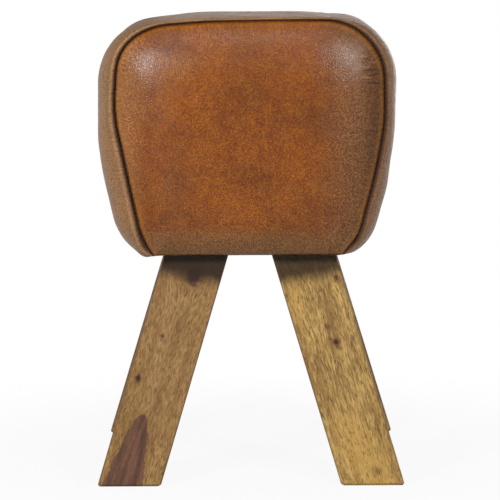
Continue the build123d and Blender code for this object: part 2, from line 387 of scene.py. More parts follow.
def vector_maths(tree, operation, first, second=(0.0, 0.0, 0.0)):
    """The result as a vector."""
    return add(tree, "VectorMath", {0: first, 1: second}, operation=operation).outputs[0]


def vector_length(tree, vector):
    return add(tree, "VectorMath", {0: vector}, operation="LENGTH").outputs["Value"]


def scaled(tree, vector, factor):
    return add(tree, "VectorMath", {0: vector, "Scale": factor}, operation="SCALE").outputs[0]


def stretched(tree, vector, scale):
    return add(tree, "Mapping", {"Vector": vector, "Scale": scale}).outputs[0]


def split(tree, vector):
    return add(tree, "SeparateXYZ", {"Vector": vector}).outputs


def noise_at(tree, vector, size, detail=2.0):
    return add(tree, "TexNoise", {"Vector": vector, "Scale": 1 / size, "Detail": detail}).outputs["Fac"]


# %% Colours
def srgb(red, green, blue):
    """A colour as a picture gives it, from 0 to 255, as the linear values that a shader takes."""
    def linear(level):
        share = level / 255
        return share / 12.92 if share <= 0.04045 else ((share + 0.055) / 1.055) ** 2.4

    return (linear(red), linear(green), linear(blue), 1.0)


def colour_mix(tree, share, low, high, blend="MIX"):
    """Colours are mixed through sockets 6 and 7 of the Mix node."""
    made = add(tree, "Mix", {0: share, 6: low, 7: high}, data_type="RGBA", blend_type=blend)
    return made.outputs[2]


def tint(tree, colour, mask, strength, tone, blend="MIX"):
    """The colour with a tone over it where the mask is."""
    return colour_mix(tree, maths(tree, "MULTIPLY", mask, strength), colour, tone, blend)


print("A picture's middle grey in linear light:", round(srgb(128, 128, 128)[0], 3))


# %% Node groups
def new_group(name, inputs, outputs):
    """A shader node group with named inputs, given as kind and default, and named outputs."""
    tree = bpy.data.node_groups.new(name, "ShaderNodeTree")
    for title, (kind, default) in inputs.items():
        made = tree.interface.new_socket(name=title, in_out="INPUT", socket_type="NodeSocket" + kind)
        if default is not None:
            made.default_value = default
    for title in outputs:
        tree.interface.new_socket(name=title, in_out="OUTPUT", socket_type="NodeSocketFloat")
    entry = tree.nodes.new("NodeGroupInput")
    leave = tree.nodes.new("NodeGroupOutput")
    return tree, entry.outputs, leave.inputs


def use(tree, group, inputs):
    return add(tree, "Group", inputs, node_tree=group).outputs


def describe(group):
    print("Group", group.name, "with", ", ".join(item.name for item in group.interface.items_tree))


# %% A finish
def finish_of(name, look, roughness, bump, bump_height, **plain):
    """A material with a Principled shader. look(tree, vector) gives its colour, height and roughness."""
    material = bpy.data.materials.new(name)
    material.use_nodes = True
    tree = material.node_tree
    tree.nodes.clear()
    where = add(tree, "TexCoord").outputs["Object"]
    shader = add(tree, "BsdfPrincipled", {"Roughness": roughness})
    for socket, value in plain.items():
        shader.inputs[socket.replace("_", " ")].default_value = value
    made = look(tree, where)
    tree.links.new(made["colour"], shader.inputs["Base Color"])
    if "roughness" in made:
        tree.links.new(made["roughness"], shader.inputs["Roughness"])
    rough = add(tree, "Bump", {"Height": made["height"], "Strength": bump, "Distance": bump_height})
    tree.links.new(rough.outputs[0], shader.inputs["Normal"])
    leave = add(tree, "OutputMaterial")
    tree.links.new(shader.outputs[0], leave.inputs[0])
    return material


# %% [markdown]
# ## Shared effects
#
# Four effects come back in several finishes, so each is a node group that is built once.
#
# * A soft spot: a knot, a fleck and a smudge are all the same thing to a node tree.
# * Mottling: leather and old wood both have darker and lighter clouds.
# * Pebble grain: the fine cells of waxed leather.
# * Wood grain: long streaks with short pores, used on the planks and the plywood.

# %% The soft spot
def build_spot():
    inputs = {
        "Vector": ("Vector", None),
        "Centre": ("Vector", (0.0, 0.0, 0.0)),
        "Reach": ("Vector", (0.01, 0.01, 0.01)),
        "Softness": ("Float", 0.4),
        "Raggedness": ("Float", 0.3),
        "Detail Size": ("Float", 0.004),
    }
    tree, entry, leave = new_group("soft_spot", inputs, ["Mask"])
    away = vector_maths(tree, "SUBTRACT", entry["Vector"], entry["Centre"])
    length = vector_length(tree, vector_maths(tree, "DIVIDE", away, entry["Reach"]))
    scale = maths(tree, "DIVIDE", 1.0, entry["Detail Size"])
    rough = add(tree, "TexNoise", {"Vector": entry["Vector"], "Scale": scale, "Detail": 3.0}).outputs["Fac"]
    ragged = maths(tree, "MULTIPLY", maths(tree, "SUBTRACT", rough, 0.5), entry["Raggedness"])
    distance = raised(tree, length, ragged, 2.0)
    edge = maths(tree, "SUBTRACT", 1.0, entry["Softness"])
    tree.links.new(ramp(tree, distance, 1.0, edge), leave["Mask"])
    return tree


soft_spot = build_spot()
describe(soft_spot)


def spot(tree, vector, centre, reach, softness, raggedness=0.3, detail=4 * mm):
    """The mask of one soft spot."""
    inputs = {"Vector": vector, "Centre": centre, "Reach": reach, "Softness": softness,
              "Raggedness": raggedness, "Detail Size": detail}
    return use(tree, soft_spot, inputs)["Mask"]


# %% Mottling
def build_mottling():
    inputs = {
        "Vector": ("Vector", None),
        "Cloud Size": ("Float", 0.04),
        "Fine Size": ("Float", 0.008),
    }
    tree, entry, leave = new_group("mottling", inputs, ["Clouds", "Fine"])
    large = maths(tree, "DIVIDE", 1.0, entry["Cloud Size"])
    small = maths(tree, "DIVIDE", 1.0, entry["Fine Size"])
    bend = {"Vector": entry["Vector"], "Scale": large, "Detail": 2.5, "Distortion": 0.3}
    clouds = add(tree, "TexNoise", bend).outputs["Fac"]
    fine = add(tree, "TexNoise", {"Vector": entry["Vector"], "Scale": small, "Detail": 4.0}).outputs["Fac"]
    tree.links.new(ramp(tree, clouds, 0.3, 0.7), leave["Clouds"])
    tree.links.new(ramp(tree, fine, 0.3, 0.7), leave["Fine"])
    return tree


mottling = build_mottling()
describe(mottling)


# %% Pebble grain of leather
def build_pebbles():
    """Cells with rounded edges, pushed out of line by a noise three times as broad as they are."""
    inputs = {"Vector": ("Vector", None), "Pebble Size": ("Float", 0.0018)}
    tree, entry, leave = new_group("pebble_grain", inputs, ["Height", "Pits"])
    scale = maths(tree, "DIVIDE", 1.0, entry["Pebble Size"])
    warp = add(tree, "TexNoise", {"Vector": entry["Vector"], "Scale": maths(tree, "MULTIPLY", scale, 0.35)})
    moved = vector_maths(tree, "ADD", entry["Vector"], scaled(tree, warp.outputs["Color"], 1.6 * mm))
    cells = add(tree, "TexVoronoi", {"Vector": moved, "Scale": scale}, feature="DISTANCE_TO_EDGE").outputs[0]
    pebble = ramp(tree, cells, 0.0, 0.28)
    small = {"Vector": entry["Vector"], "Scale": maths(tree, "MULTIPLY", scale, 2.1), "Detail": 3.0}
    fine = add(tree, "TexNoise", small).outputs["Fac"]
    height = raised(tree, maths(tree, "MULTIPLY", pebble, 0.6), fine, 0.8)
    tree.links.new(height, leave["Height"])
    tree.links.new(maths(tree, "SUBTRACT", 1.0, ramp(tree, height, 0.42, 0.82)), leave["Pits"])
    return tree


pebble_grain = build_pebbles()
describe(pebble_grain)


# %% Wood grain
def build_wood_grain():
    """The grain runs along the vector's Z."""
    inputs = {
        "Vector": ("Vector", None),
        "Streak Width": ("Float", 0.004),
        "Pore Width": ("Float", 0.0009),
    }
    tree, entry, leave = new_group("wood_grain", inputs, ["Streaks", "Pores", "Lines"])
    drawn = stretched(tree, entry["Vector"], (1.0, 1.0, 0.1))
    streak = maths(tree, "DIVIDE", 1.0, entry["Streak Width"])
    streaks = add(tree, "TexNoise", {"Vector": drawn, "Scale": streak, "Detail": 5.0, "Distortion": 0.35})
    short = stretched(tree, entry["Vector"], (1.0, 1.0, 0.17))
    line_scale = maths(tree, "MULTIPLY", streak, 5.0)
    lines = add(tree, "TexNoise", {"Vector": short, "Scale": line_scale, "Detail": 3.0}).outputs["Fac"]
    pore = maths(tree, "DIVIDE", 1.0, entry["Pore Width"])
    cells = add(tree, "TexNoise", {"Vector": short, "Scale": pore, "Detail": 1.0}).outputs["Fac"]
    tree.links.new(ramp(tree, streaks.outputs["Fac"], 0.3, 0.7), leave["Streaks"])
    tree.links.new(ramp(tree, cells, 0.56, 0.7), leave["Pores"])
    tree.links.new(ramp(tree, lines, 0.35, 0.65), leave["Lines"])
    return tree


wood_grain = build_wood_grain()
describe(wood_grain)

# %% [markdown]
# ## The leather finish
#
# The cover is thick waxed hide, rubbed to a worn shine. Its colour comes in soft clouds, from chestnut
# to orange tan, over a fine pebble grain whose pits hold dark wax, and a dark speckle that thickens to
# the right. The panel has a pale golden painted sheen at its left edge and a greyish painted sheen on its
# right side, darkening to painted shade by the right seam, and it is greyer towards its lower edge. The
# strip round it is a paler tan with painted sheen at both sides, so both leathers are one function with
# different dyes.
#
# Wax and painted shade darken the seam's valley, painted shade the roll's slope, and a painted
# highlight brightens the roll beside it: the mesh says where, in two marks a point. The rest of the
# shine is the shader's own: a painted one would not move.

# %% A fine crease line
def build_crease():
    """A thin line from one place to another in X and Z, which wavers and fades at both ends."""
    inputs = {
        "Vector": ("Vector", None),
        "Start": ("Vector", (0.0, 0.0, 0.0)),
        "Run": ("Vector", (0.01, 0.0, 0.0)),
        "Width": ("Float", 0.001),
    }
    tree, entry, leave = new_group("crease_line", inputs, ["Mask"])
    flat = vector_maths(tree, "MULTIPLY", entry["Vector"], (1.0, 0.0, 1.0))
    wave = add(tree, "TexNoise", {"Vector": flat, "Scale": 140.0, "Detail": 2.0}).outputs["Fac"]
    bend = maths(tree, "MULTIPLY", maths(tree, "SUBTRACT", wave, 0.5), 3.2 * mm)
    lifted = vector_maths(tree, "ADD", flat, add(tree, "CombineXYZ", {2: bend}).outputs[0])
    away = vector_maths(tree, "SUBTRACT", lifted, entry["Start"])
    along = add(tree, "VectorMath", {0: away, 1: entry["Run"]}, operation="DOT_PRODUCT").outputs["Value"]
    square = add(tree, "VectorMath", {0: entry["Run"], 1: entry["Run"]}, operation="DOT_PRODUCT")
    share = maths(tree, "DIVIDE", along, square.outputs["Value"], clamp=True)
    nearest = scaled(tree, entry["Run"], share)
    length = vector_length(tree, vector_maths(tree, "SUBTRACT", away, nearest))
    line = maths(tree, "SUBTRACT", 1.0, maths(tree, "DIVIDE", length, entry["Width"]), clamp=True)
    fade = maths(tree, "PINGPONG", share, 0.5)
    tree.links.new(maths(tree, "MULTIPLY", line, ramp(tree, fade, 0.0, 0.16)), leave["Mask"])
    return tree


crease_line = build_crease()
describe(crease_line)

# %% Sizes, places and tones of the leather's effects
cloud_size = 62 * mm
fine_cloud_size = 11 * mm
placed_cloud_detail = 14 * mm
pebble_size = 2.1 * mm
speck_size = 1.7 * mm
rub_size = 5 * mm

# Where a tone comes in, from none to full: in X at the sides, in Z at the lower edge
# A painted sheen at the left edge, where a lamp's reflection runs down the side
lit_left_edge = (-98 * mm, -124 * mm)
# A greyish painted sheen on the right side
right_side = (60 * mm, 108 * mm)
# Painted shade by the right seam
shaded_right_edge = (104 * mm, 126 * mm)
speckled_side = (60 * mm, 100 * mm)
lower_edge = (272 * mm, 243 * mm)

# A placed cloud's place and reach in Y, and a fleck's place in Y and its reach in X, Y and Z
front_face = -190 * mm
front_reach = 70 * mm
fleck_face = -196 * mm
fleck_reach = (1.5 * mm, 8 * mm, 1.6 * mm)

# The colour of the painted shade by the right seam
right_seam_shade_brown = srgb(80, 52, 32)
fleck_brown = srgb(48, 26, 12)
# The colour of the painted shade in the creases
crease_shade_brown = srgb(44, 26, 14)
# The colour of wax and painted shade in the seam
wax_and_shade_brown = srgb(52, 27, 10)
speck_tint = (0.55, 0.48, 0.38, 1.0)
pit_tint = (0.52, 0.45, 0.38, 1.0)
print("Pebbles of", pebble_size, "m in clouds of", cloud_size, "m")


# %% The look of leather
def mark(tree, name):
    """A value that the mesh carries at each point."""
    return add(tree, "Attribute", attribute_name=name).outputs["Fac"]


def dye_clouds(tree, where, tones, fine, broad, clouds):
    """The clouds of the hide, and those that are placed one by one."""
    colour = colour_mix(tree, broad, tones["dark"], tones["main"])
    colour = tint(tree, colour, fine, 0.32, tones["light"])
    for place, size, tone, strength in clouds:
        centre = (place[0] * mm, front_face, place[1] * mm)
        reach = (size[0] * mm, front_reach, size[1] * mm)
        mask = spot(tree, where, centre, reach, 0.95, 0.3, placed_cloud_detail)
        colour = tint(tree, colour, mask, strength, srgb(*tone))
    return colour


def leather_look(dyes_and_sheen, shine, right_shade_share, speckle, flecks=(), creases=(), clouds=()):
    """Dyes and painted sheen name a tone for each part. Flecks, creases and clouds are lists of places."""
    tones = {name: srgb(*dye) for name, dye in dyes_and_sheen.items()}

    def look(tree, where):
        x, _, z = split(tree, where)
        sizes = {"Vector": where, "Cloud Size": cloud_size, "Fine Size": fine_cloud_size}
        broad, fine = use(tree, mottling, sizes)
        height, pits = use(tree, pebble_grain, {"Vector": where, "Pebble Size": pebble_size})
        colour = dye_clouds(tree, where, tones, fine, broad, clouds)
        # Painted sheen at the left edge and on the right side, and painted shade by the right seam
        colour = colour_mix(tree, ramp(tree, x, *lit_left_edge, 0.0, 0.5), colour, tones["left"])
        colour = colour_mix(tree, ramp(tree, x, *right_side, 0.0, 0.75), colour, tones["right"])
        colour = colour_mix(tree, ramp(tree, x, *shaded_right_edge, 0.0, right_shade_share), colour, right_seam_shade_brown)
        colour = colour_mix(tree, ramp(tree, z, *lower_edge, 0.0, 0.8), colour, tones["low"])
        specks = ramp(tree, noise_at(tree, where, speck_size), 0.38, 0.62)
        strength = ramp(tree, x, *speckled_side, speckle, speckle * 1.4)
        colour = tint(tree, colour, specks, strength, speck_tint, "MULTIPLY")
        colour = tint(tree, colour, pits, 0.9, pit_tint, "MULTIPLY")
        for place in flecks:
            centre = (place[0] * mm, fleck_face, place[1] * mm)
            colour = tint(tree, colour, spot(tree, where, centre, fleck_reach, 0.7), 0.6, fleck_brown)
        # Each crease is darkened with painted shade and lowered in the bump
        for start, end, width, strength in creases:
            origin = (start[0] * mm, 0.0, start[1] * mm)
            run = ((end[0] - start[0]) * mm, 0.0, (end[1] - start[1]) * mm)
            line = {"Vector": where, "Start": origin, "Run": run, "Width": width * mm}
            mask = use(tree, crease_line, line)["Mask"]
            colour = tint(tree, colour, mask, strength, crease_shade_brown)
            height = raised(tree, height, mask, -1.1 * strength)
        # A painted highlight brightens the roll's ridge, where the mesh's mark says
        ragged = ramp(tree, noise_at(tree, where, rub_size, 3.0), 0.25, 0.6, 0.45, 1.0)
        lit_ridge = maths(tree, "MULTIPLY", mark(tree, "seam_painted_highlight"), ragged)
        colour = tint(tree, colour, lit_ridge, 0.4, tones["light"])
        # The mesh's mark of wax and painted shade passes 1 in the valley, so it is clamped
        wax_and_shade = maths(tree, "MULTIPLY", mark(tree, "seam_wax_and_shade"), 1.0, clamp=True)
        colour = colour_mix(tree, wax_and_shade, colour, wax_and_shade_brown)
        gloss = raised(tree, raised(tree, shine, pits, 0.14), wax_and_shade, 0.3)
        return {"colour": colour, "roughness": gloss, "height": height}

    return look


# %% [markdown]
# ## Marks of use on the front panel
#
# No two hides are alike, and a noise can't put a mark where the eye remembers one. So the flecks, the
# broad darker and paler clouds and the creases of the front panel are short lists of places, in the
# millimetres that a ruler held against the stool's end would show.

# %% Flecks, clouds and creases
panel_flecks = [(-72.5, 382.1), (-71.5, 369.0), (-69.5, 356.5)]
chestnut = (98, 50, 6)
# A cloud's place in X and Z, its half width and half height, its tone and its strength
panel_clouds = [
    ((-69.0, 309.0), (26.0, 30.0), chestnut, 0.5),
    ((67.0, 367.0), (30.0, 34.0), chestnut, 0.5),
    ((0.0, 309.0), (44.0, 26.0), chestnut, 0.35),
    ((67.0, 309.0), (20.0, 18.0), (168, 114, 60), 0.15),
    ((0.0, 396.0), (62.0, 24.0), chestnut, 0.3),
    ((-40.0, 256.0), (90.0, 10.0), (166, 116, 68), 0.35),
    ((-69.0, 425.0), (28.0, 20.0), (176, 122, 70), 0.35),
]
# A crease's start and end in X and Z, its width and the strength of its painted shade
panel_creases = [
    ((106.0, 424.6), (121.5, 427.8), 1.0, 0.6),
    ((110.0, 417.4), (131.5, 418.6), 1.2, 0.75),
    ((113.0, 412.9), (133.0, 414.4), 1.2, 0.75),
    ((113.5, 406.4), (133.0, 404.6), 1.3, 0.8),
    ((97.0, 356.6), (130.5, 358.6), 0.9, 0.8),
    ((98.0, 320.8), (123.0, 315.4), 0.8, 0.4),
    ((104.0, 329.0), (124.5, 326.0), 0.8, 0.35),
    ((-128.0, 377.0), (-112.0, 373.5), 0.8, 0.3),
    ((100.0, 345.0), (126.0, 344.0), 0.7, 0.35),
    ((102.0, 372.0), (128.0, 371.0), 0.7, 0.3),
    ((100.0, 365.5), (124.0, 366.0), 0.7, 0.3),
    ((106.0, 386.0), (127.0, 386.6), 0.7, 0.3),
]
print("Flecks, clouds and creases:", len(panel_flecks), len(panel_clouds), len(panel_creases))

# %% Both leathers
# Besides the dyes, left and right are painted sheen on the panel's sides, and low is its greyer lower edge
panel_dyes_and_sheen = {
    "dark": (128, 64, 2),
    "main": (156, 84, 2),
    "light": (178, 111, 28),
    "left": (194, 142, 94),
    "right": (136, 97, 60),
    "low": (138, 101, 60),
}
# Besides the dyes, left and right are painted sheen on the strip's sides
band_dyes_and_sheen = {
    "dark": (140, 98, 56),
    "main": (164, 119, 74),
    "light": (190, 146, 100),
    "left": (178, 138, 98),
    "right": (158, 116, 82),
    "low": (158, 120, 84),
}
panel_look = leather_look(
    panel_dyes_and_sheen, shine=0.26, right_shade_share=0.5, speckle=0.8,
    flecks=panel_flecks, creases=panel_creases, clouds=panel_clouds,
)
panel_leather = finish_of(
    "panel_leather", panel_look, roughness=0.45, bump=0.38, bump_height=0.3 * mm, Specular_IOR_Level=0.42,
)
band_leather = finish_of(
    "band_leather", leather_look(band_dyes_and_sheen, shine=0.42, right_shade_share=0.0, speckle=0.3),
    roughness=0.45, bump=0.5, bump_height=0.25 * mm, Specular_IOR_Level=0.32,
)
print("Leathers:", panel_leather.name, band_leather.name)

# %% [markdown]
# ## The plank finish
#
# The legs are golden hardwood with dark heartwood, knots and a waxed surface. Their tops, where they
# enter the block, are darkened with painted shade. The grain has to run along each leaning plank, so the
# mapping first turns the stool's own coordinates by the lean and moves them to the middle of the foot.
# From there on, X runs across the plank and Z up along it, and a knot is placed in the millimetres that
# a ruler laid on the plank would show. The lines of the grain bend round each knot, as they do in a tree.

# %% Places on a plank
leg_width = 61.0 * mm
# The lean of a pair of legs, and where the outer edge of its feet lies in X
front_pair = (radians(16.5), 154.43 * mm)
rear_pair = (radians(16.95), 156.46 * mm)


def foot_middle(side, pair):
    """Where the middle of a foot lies in X."""
    lean, foot_outer = pair
    return side * (foot_outer - leg_width / cos(lean) / 2)


def plank_vector(tree, where, side, pair):
    """The stool's coordinates turned so that Z runs up the plank and X across it, outwards."""
    shift = (-foot_middle(side, pair), 0.0, 0.0)
    moved = add(tree, "Mapping", {"Vector": where, "Location": shift}).outputs[0]
    turned = add(tree, "Mapping", {"Vector": moved, "Rotation": (0.0, side * pair[0], 0.0)}).outputs[0]
    return stretched(tree, turned, (side, 1.0, 1.0))


def on_plank(place, reach, grown=1.0):
    """Centre and reach of a spot that is given up and across the plank, in millimetres."""
    centre = (place[1] * mm, 0.0, place[0] * mm)
    return centre, (reach[1] * grown * mm, 1.0, reach[0] * grown * mm)


print("Middles of the right feet in X:", [round(foot_middle(1, pair), 4) for pair in (front_pair, rear_pair)])


# %% Dark heartwood
def heartwood(tree, x, z, plank, colour, apex, centre, spread):
    """A tongue of dark heartwood that narrows upwards to its apex, like a parabola."""
    wave = maths(tree, "MULTIPLY", maths(tree, "SUBTRACT", noise_at(tree, plank, 9 * mm, 4.0), 0.5), 9 * mm)
    aside = maths(tree, "SUBTRACT", maths(tree, "ADD", x, wave), centre * mm)
    squared = maths(tree, "DIVIDE", maths(tree, "MULTIPLY", aside, aside), spread * mm)
    level = maths(tree, "SUBTRACT", maths(tree, "SUBTRACT", apex * mm, z), squared)
    inside = ramp(tree, level, -1.5 * mm, 3 * mm)
    streaks = use(tree, wood_grain, {"Vector": plank, "Streak Width": 4 * mm})["Streaks"]
    dark = colour_mix(tree, streaks, srgb(66, 42, 34), srgb(112, 76, 62))
    return tint(tree, colour, inside, 0.92, dark)


# %% Sizes and tones of the planks
plank_shifts = (0.37, 0.11, 0.53)
streak_width = 7 * mm
wood_cloud_size = 26 * mm
knot_bend = -0.6
bend_grown = 3.2
halo_grown = 1.9

# The painted shade under the block: its heights on the stool, its wavering, its slope and its strength
top_shade_heights = (207 * mm, 223 * mm)
shade_wave = 8 * mm
shade_slope = -0.16
shade_share = 0.93
shade_share_aside = -0.03

# The eased edges, rubbed darker: how far from the middle of the plank
dark_edge = (28.6 * mm, 29.8 * mm)

wood_gold = srgb(172, 138, 78)
line_brown = srgb(104, 74, 38)
patch_gold = srgb(196, 156, 84)
streak_brown = srgb(92, 60, 36)
halo_brown = srgb(112, 76, 44)
knot_brown = srgb(54, 32, 26)
pore_brown = srgb(80, 52, 30)
painted_shade_brown = srgb(42, 26, 12)
worn_brown = srgb(96, 66, 38)
# The painted shade under the block begins at this height
print("The dark stain starts", top_shade_heights[0], "m above the floor")


# %% The look of a plank
def round_knots(tree, plank, x, knots):
    """How far the grain is moved aside, so that it bends round the knots."""
    bend = 0.0
    for place, reach, _ in knots:
        near = spot(tree, plank, *on_plank(place, reach, bend_grown), 1.0, 0.0)
        aside = maths(tree, "SUBTRACT", x, place[1] * mm)
        bend = raised(tree, bend, maths(tree, "MULTIPLY", aside, knot_bend), near)
    return add(tree, "CombineXYZ", {0: bend}).outputs[0]


def plank_look(side, pair, seed, tones, knots=(), stains=(), flame=None, gold=()):
    """A knot, a stain or a golden patch is its place up and across the plank and its reach there."""
    def look(tree, where):
        plank = plank_vector(tree, where, side, pair)
        own = vector_maths(tree, "ADD", plank, tuple(seed * step for step in plank_shifts))
        x, _, z = split(tree, plank)
        bent = vector_maths(tree, "ADD", own, round_knots(tree, plank, x, knots))
        grain = use(tree, wood_grain, {"Vector": bent, "Streak Width": streak_width})
        drawn = stretched(tree, bent, (1.0, 1.0, 0.3))
        clouds = use(tree, mottling, {"Vector": drawn, "Cloud Size": wood_cloud_size})["Clouds"]
        colour = colour_mix(tree, grain["Streaks"], srgb(*tones[0]), srgb(*tones[1]))
        colour = tint(tree, colour, clouds, 0.4, wood_gold)
        colour = tint(tree, colour, grain["Lines"], 0.65, line_brown)
        for place, reach in gold:
            mask = spot(tree, plank, *on_plank(place, reach), 0.9, 0.2, 12 * mm)
            colour = tint(tree, colour, mask, 0.6, patch_gold)
        for place, reach, strength in stains:
            mask = spot(tree, plank, *on_plank(place, reach), 0.9, 0.35, 7 * mm)
            colour = tint(tree, colour, mask, strength, streak_brown)
        if flame:
            colour = heartwood(tree, x, z, plank, colour, *flame)
        for place, reach, depth in knots:
            halo = spot(tree, plank, *on_plank(place, reach, halo_grown), 0.7, 0.25)
            colour = tint(tree, colour, halo, 0.5 * depth, halo_brown)
            core = spot(tree, plank, *on_plank(place, reach), 0.7, 0.35)
            colour = tint(tree, colour, core, depth, knot_brown)
        colour = tint(tree, colour, grain["Pores"], 0.7, pore_brown)
        # Painted shade darkens the top of each plank, where the block overhangs it
        level = raised(tree, split(tree, where)[2], noise_at(tree, plank, 12 * mm, 3.0), shade_wave)
        level = raised(tree, level, x, shade_slope)
        top = ramp(tree, level, *top_shade_heights, 0.0, shade_share + shade_share_aside * side)
        colour = colour_mix(tree, top, colour, painted_shade_brown)
        edge = ramp(tree, maths(tree, "ABSOLUTE", x), *dark_edge, 0.0, 0.45)
        colour = colour_mix(tree, edge, colour, worn_brown)
        gloss = raised(tree, 0.42, grain["Pores"], 0.25)
        height = maths(tree, "SUBTRACT", maths(tree, "MULTIPLY", grain["Lines"], 0.35), grain["Pores"])
        return {"colour": colour, "roughness": gloss, "height": height}

    return look


# %% The four planks
def plank_finish(name, *args, **kwargs):
    return finish_of(name, plank_look(*args, **kwargs), roughness=0.45, bump=0.35, bump_height=0.3 * mm,
                     Specular_IOR_Level=0.3)


left_tones = ((134, 99, 58), (166, 128, 84))
right_tones = ((158, 124, 70), (200, 165, 98))
leg_finishes = {
    "front_left_leg": plank_finish(
        "front_left_plank", -1, front_pair, 1, left_tones,
        knots=[
            ((223.0, -3.6), (15.0, 12.5), 1.0),
            ((156.5, 10.3), (3.0, 2.6), 0.8),
            ((109.0, 21.5), (6.5, 4.0), 1.0),
        ],
        stains=[
            ((171.0, -1.5), (7.0, 2.4), 0.7),
            ((95.0, -3.0), (30.0, 7.0), 0.3),
        ],
        flame=(76.0, 6.3, 4.84),
    ),
    "front_right_leg": plank_finish(
        "front_right_plank", 1, front_pair, 2, right_tones,
        knots=[
            ((241.5, -10.2), (3.0, 2.2), 0.9),
            ((212.4, 24.0), (4.0, 3.0), 0.8),
            ((150.7, 5.7), (5.5, 4.5), 1.0),
        ],
        stains=[
            ((167.0, 1.5), (6.0, 7.0), 0.75),
            ((184.0, 7.5), (30.0, 4.0), 0.4),
            ((112.0, 4.0), (26.0, 4.0), 0.4),
            ((14.0, 8.0), (8.0, 9.0), 0.5),
            ((54.0, 21.5), (52.0, 1.6), 0.55),
        ],
        gold=[((203.0, -20.0), (30.0, 9.0)), ((46.0, -4.0), (60.0, 34.0)), ((10.0, 8.0), (34.0, 30.0))],
    ),
    "rear_left_leg": plank_finish(
        "rear_left_plank", -1, rear_pair, 3, left_tones,
        knots=[((180.0, 8.0), (6.0, 5.0), 0.9)],
        stains=[((70.0, -8.0), (40.0, 5.0), 0.4)],
    ),
    "rear_right_leg": plank_finish(
        "rear_right_plank", 1, rear_pair, 4, right_tones,
        knots=[((96.0, -12.0), (7.0, 4.5), 0.9)],
        stains=[((190.0, 10.0), (34.0, 4.0), 0.4)],
    ),
}
print("Plank finishes:", len(leg_finishes))

# %% [markdown]
# ## The hidden finishes
#
# Inside are plywood, foam, zinc-plated steel and a black cloth. They show only when the stool is turned
# over or taken apart, but each still gets what the real one has: plies that show on a sawn edge, foam
# cells, the spangle of zinc and the fibres of a bonded cloth.

# %% Plywood
ply_thickness = 1.5 * mm
top_board_thickness = 12 * mm
side_lean = radians(8.0)
along_y = (pi / 2, 0.0, 0.0)
upright = (0.0, 0.0, 0.0)


def plywood_look(grain_turn, ply_axis, lean=0.0):
    """The grain lies along the vector's Z once it is turned, and the plies are stacked along an axis."""
    def look(tree, where):
        level = add(tree, "Mapping", {"Vector": where, "Rotation": (0.0, lean, 0.0)}).outputs[0]
        turned = add(tree, "Mapping", {"Vector": level, "Rotation": grain_turn}).outputs[0]
        grain = use(tree, wood_grain, {"Vector": turned, "Streak Width": 9 * mm})
        depth = maths(tree, "DIVIDE", split(tree, level)[ply_axis], ply_thickness)
        ply = maths(tree, "PINGPONG", depth, 1.0)
        colour = colour_mix(tree, grain["Streaks"], srgb(186, 152, 108), srgb(214, 184, 142))
        colour = colour_mix(tree, ramp(tree, ply, 0.4, 0.6, 0.0, 0.35), colour, srgb(150, 112, 74))
        colour = tint(tree, colour, grain["Pores"], 0.35, srgb(128, 94, 58))
        return {"colour": colour, "height": grain["Lines"]}

    return look


def plywood(name, *args):
    return finish_of(name, plywood_look(*args), roughness=0.7, bump=0.25, bump_height=0.2 * mm)


level_plywood = plywood("level_plywood", along_y, 2)
upright_plywood = plywood("upright_plywood", upright, 1)
right_plywood = plywood("right_side_plywood", along_y, 0, -side_lean)
left_plywood = plywood("left_side_plywood", along_y, 0, side_lean)
print("The top board's edge shows", round(top_board_thickness / ply_thickness), "plies")

# %% Foam, zinc, cloth and thread
foam_cell = 1.1 * mm
zinc_spangle = 2.2 * mm
zinc_grain = 0.4 * mm
fibre_size = 0.5 * mm
fibre_stretch = 0.18


def foam_look(tree, where):
    cells = add(tree, "TexVoronoi", {"Vector": where, "Scale": 1 / foam_cell}).outputs["Distance"]
    clouds = use(tree, mottling, {"Vector": where, "Cloud Size": 30 * mm})["Clouds"]
    colour = colour_mix(tree, clouds, srgb(226, 214, 176), srgb(238, 230, 198))
    colour = colour_mix(tree, ramp(tree, cells, 0.3, 0.05, 0.0, 0.4), colour, srgb(178, 162, 118))
    return {"colour": colour, "height": cells}


def zinc_look(tree, where):
    spangle = add(tree, "TexVoronoi", {"Vector": where, "Scale": 1 / zinc_spangle}).outputs["Color"]
    tone = split(tree, spangle)[0]
    colour = colour_mix(tree, tone, srgb(196, 198, 196), srgb(222, 222, 216))
    gloss = raised(tree, 0.26, tone, 0.16)
    return {"colour": colour, "roughness": gloss, "height": noise_at(tree, where, zinc_grain)}


def cloth_look(tree, where):
    fibres = noise_at(tree, stretched(tree, where, (1.0, fibre_stretch, 1.0)), fibre_size, 3.0)
    crossed = noise_at(tree, stretched(tree, where, (fibre_stretch, 1.0, 1.0)), fibre_size, 3.0)
    web = maths(tree, "MAXIMUM", fibres, crossed)
    colour = colour_mix(tree, ramp(tree, web, 0.45, 0.7), srgb(20, 20, 21), srgb(58, 57, 56))
    return {"colour": colour, "height": web}


def thread_look(tree, where):
    strands = noise_at(tree, where, fibre_size)
    colour = colour_mix(tree, ramp(tree, strands, 0.35, 0.65), srgb(62, 38, 20), srgb(104, 68, 38))
    return {"colour": colour, "height": strands}


foam_finish = finish_of("foam", foam_look, roughness=0.9, bump=0.5, bump_height=0.4 * mm)
zinc_finish = finish_of(
    "zinc_steel", zinc_look, roughness=0.35, bump=0.1, bump_height=0.05 * mm, Metallic=1.0,
)
cloth_finish = finish_of("dust_cloth", cloth_look, roughness=0.95, bump=0.4, bump_height=0.2 * mm)
thread_finish = finish_of("waxed_thread", thread_look, roughness=0.5, bump=0.4, bump_height=0.1 * mm)
print("Finishes so far:", len(bpy.data.materials))

